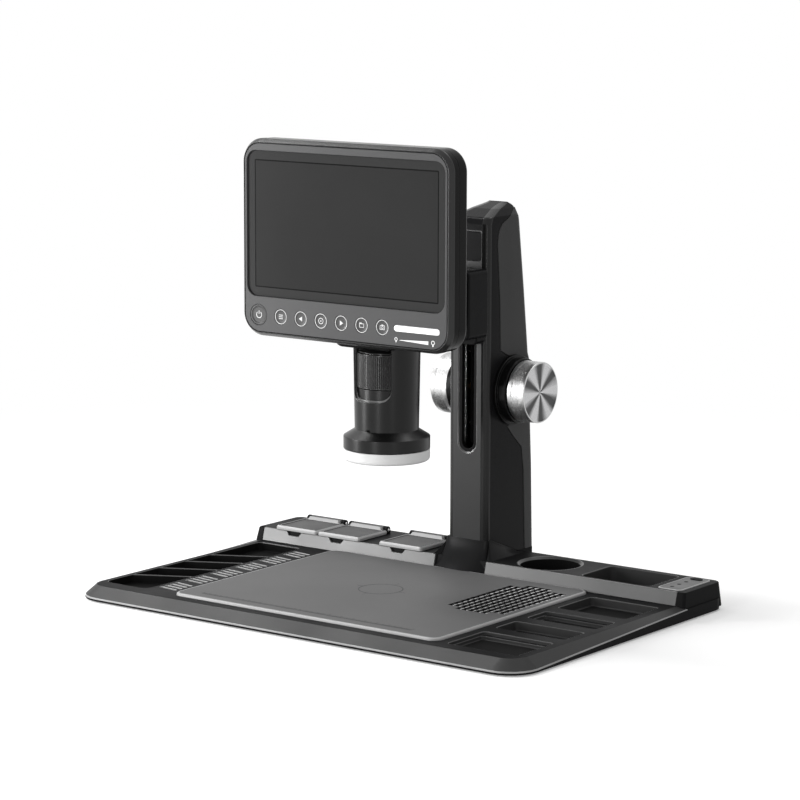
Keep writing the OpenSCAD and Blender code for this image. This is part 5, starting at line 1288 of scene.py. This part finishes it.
class MICROSCOPE_OT_stage(bpy.types.Operator):
    """Camera, pale floor, white surroundings and soft studio lamps"""
    bl_idname = "microscope.stage"
    bl_label = "Stage"

    def execute(self, context):
        scene = context.scene
        scene.view_settings.view_transform = "Standard"
        camera = bpy.data.objects.new("Camera", bpy.data.cameras.new("Camera"))
        yaw, pitch, roll = (radians(angle) for angle in CAMERA_TURNS)
        forward = np.array([-sin(yaw) * cos(pitch), cos(yaw) * cos(pitch), -sin(pitch)])
        right = np.array([cos(yaw), sin(yaw), 0])
        up = np.cross(right, forward)
        across, lift = right * cos(roll) + up * sin(roll), up * cos(roll) - right * sin(roll)
        turn = Matrix(np.column_stack([across, lift, -forward]).tolist()).to_4x4()
        camera.matrix_world = Matrix.Translation(CAMERA_AT) @ turn
        camera.data.lens, camera.data.sensor_width = CAMERA_LENS, 36
        camera.data.clip_start, camera.data.clip_end = 0.05, 60
        scene.collection.objects.link(camera)
        scene.camera = camera

        for name, place, size, energy, target in LAMPS:
            lamp = bpy.data.lights.new(name, "AREA")
            lamp.shape, (lamp.size, lamp.size_y), lamp.energy = "RECTANGLE", size, energy
            obj = bpy.data.objects.new(name, lamp)
            obj.location, obj.rotation_euler = place, aimed(place, target)
            scene.collection.objects.link(obj)

        # Floor: a wide flat disc. Where the camera or a reflection sees it, it goes over to pure white
        # from 0.3 to 0.9 m out
        s = Shape()
        s.lathe([(9000, 0), (2000, 0), (700, 0), (0, 0)], 96)
        floor = piece("floor", s, [], None)
        pale = bpy.data.materials.new("Pale floor")
        pale.use_nodes = True
        net = Net(pale.node_tree)
        shader = pale.node_tree.nodes["Principled BSDF"]
        shader.inputs["Base Color"].default_value = (0.88, 0.88, 0.88, 1)
        shader.inputs["Roughness"].default_value = 0.9
        shader.inputs["Specular IOR Level"].default_value = 0.1
        shader.inputs["Emission Color"].default_value = (1, 1, 1, 1)
        place = net("ShaderNodeTexCoord", out=3)
        spot = net("ShaderNodeVectorMath", out=1, settings={"operation": "LENGTH"}, i0=place)
        far = net("ShaderNodeMapRange", settings={"interpolation_type": "SMOOTHSTEP"},
                  i0=spot, i1=0.3, i2=0.9, i3=0.0, i4=1.0)
        view = seen(net)
        net.tree.links.new(net.maths("MULTIPLY", view, 0.25), shader.inputs["Emission Strength"])
        white = net("ShaderNodeEmission", Color=(1, 1, 1, 1), Strength=1.0)
        share = net.maths("MULTIPLY", view, far)
        mix = net("ShaderNodeMixShader", i0=share, i1=shader.outputs[0], i2=white)
        net.tree.links.new(mix, pale.node_tree.nodes["Material Output"].inputs["Surface"])
        floor.data.materials.append(pale)

        world = bpy.data.worlds.new("White surroundings")
        scene.world = world
        world.use_nodes = True
        net = Net(world.node_tree)
        level = net("ShaderNodeMapRange", i0=seen(net), i1=0.0, i2=1.0, i3=0.42, i4=1.0)
        world.node_tree.links.new(level, world.node_tree.nodes["Background"].inputs["Strength"])
        world.node_tree.nodes["Background"].inputs["Color"].default_value = (1, 1, 1, 1)
        return {"FINISHED"}


def seen(net):
    """1 for camera, glossy and transmission rays, else 0."""
    path = net.tree.nodes.new("ShaderNodeLightPath")
    rays = [path.outputs[name] for name in ("Is Camera Ray", "Is Glossy Ray", "Is Transmission Ray")]
    return net.maths("MAXIMUM", net.maths("MAXIMUM", rays[0], rays[1]), rays[2])


STEPS = ("base", "pad", "trim", "lids", "controls", "column", "skirt", "drive", "head", "barrel",
         "display", "keys", "inside", "stage")


class MICROSCOPE_PT_panel(bpy.types.Panel):
    """Lists the pieces of the microscope with their sizes and colours"""
    bl_label = "Desk microscope"
    bl_idname = "MICROSCOPE_PT_panel"
    bl_space_type = "VIEW_3D"
    bl_region_type = "UI"
    bl_category = "Microscope"

    def draw(self, context):
        layout = self.layout
        for values in (context.scene.microscope_sizes, context.scene.microscope_colours):
            for name in values.__annotations__:
                layout.prop(values, name)
        for step in STEPS:
            layout.operator(f"microscope.{step}")


CLASSES = (MicroscopeSizes, MicroscopeColours, MICROSCOPE_OT_base, MICROSCOPE_OT_pad, MICROSCOPE_OT_trim,
           MICROSCOPE_OT_lids, MICROSCOPE_OT_controls, MICROSCOPE_OT_column, MICROSCOPE_OT_skirt,
           MICROSCOPE_OT_drive, MICROSCOPE_OT_head, MICROSCOPE_OT_barrel, MICROSCOPE_OT_display,
           MICROSCOPE_OT_keys, MICROSCOPE_OT_inside, MICROSCOPE_OT_stage, MICROSCOPE_PT_panel)


def register():
    """Registers the classes and gives the scene its sizes and colours."""
    for cls in CLASSES:
        bpy.utils.register_class(cls)
    bpy.types.Scene.microscope_sizes = PointerProperty(type=MicroscopeSizes)
    bpy.types.Scene.microscope_colours = PointerProperty(type=MicroscopeColours)


def unregister():
    """Takes back what register() did."""
    del bpy.types.Scene.microscope_colours, bpy.types.Scene.microscope_sizes
    for cls in reversed(CLASSES):
        bpy.utils.unregister_class(cls)


def main():
    register()
    for step in STEPS:
        getattr(bpy.ops.microscope, step)()


if __name__ == "__main__":
    main()
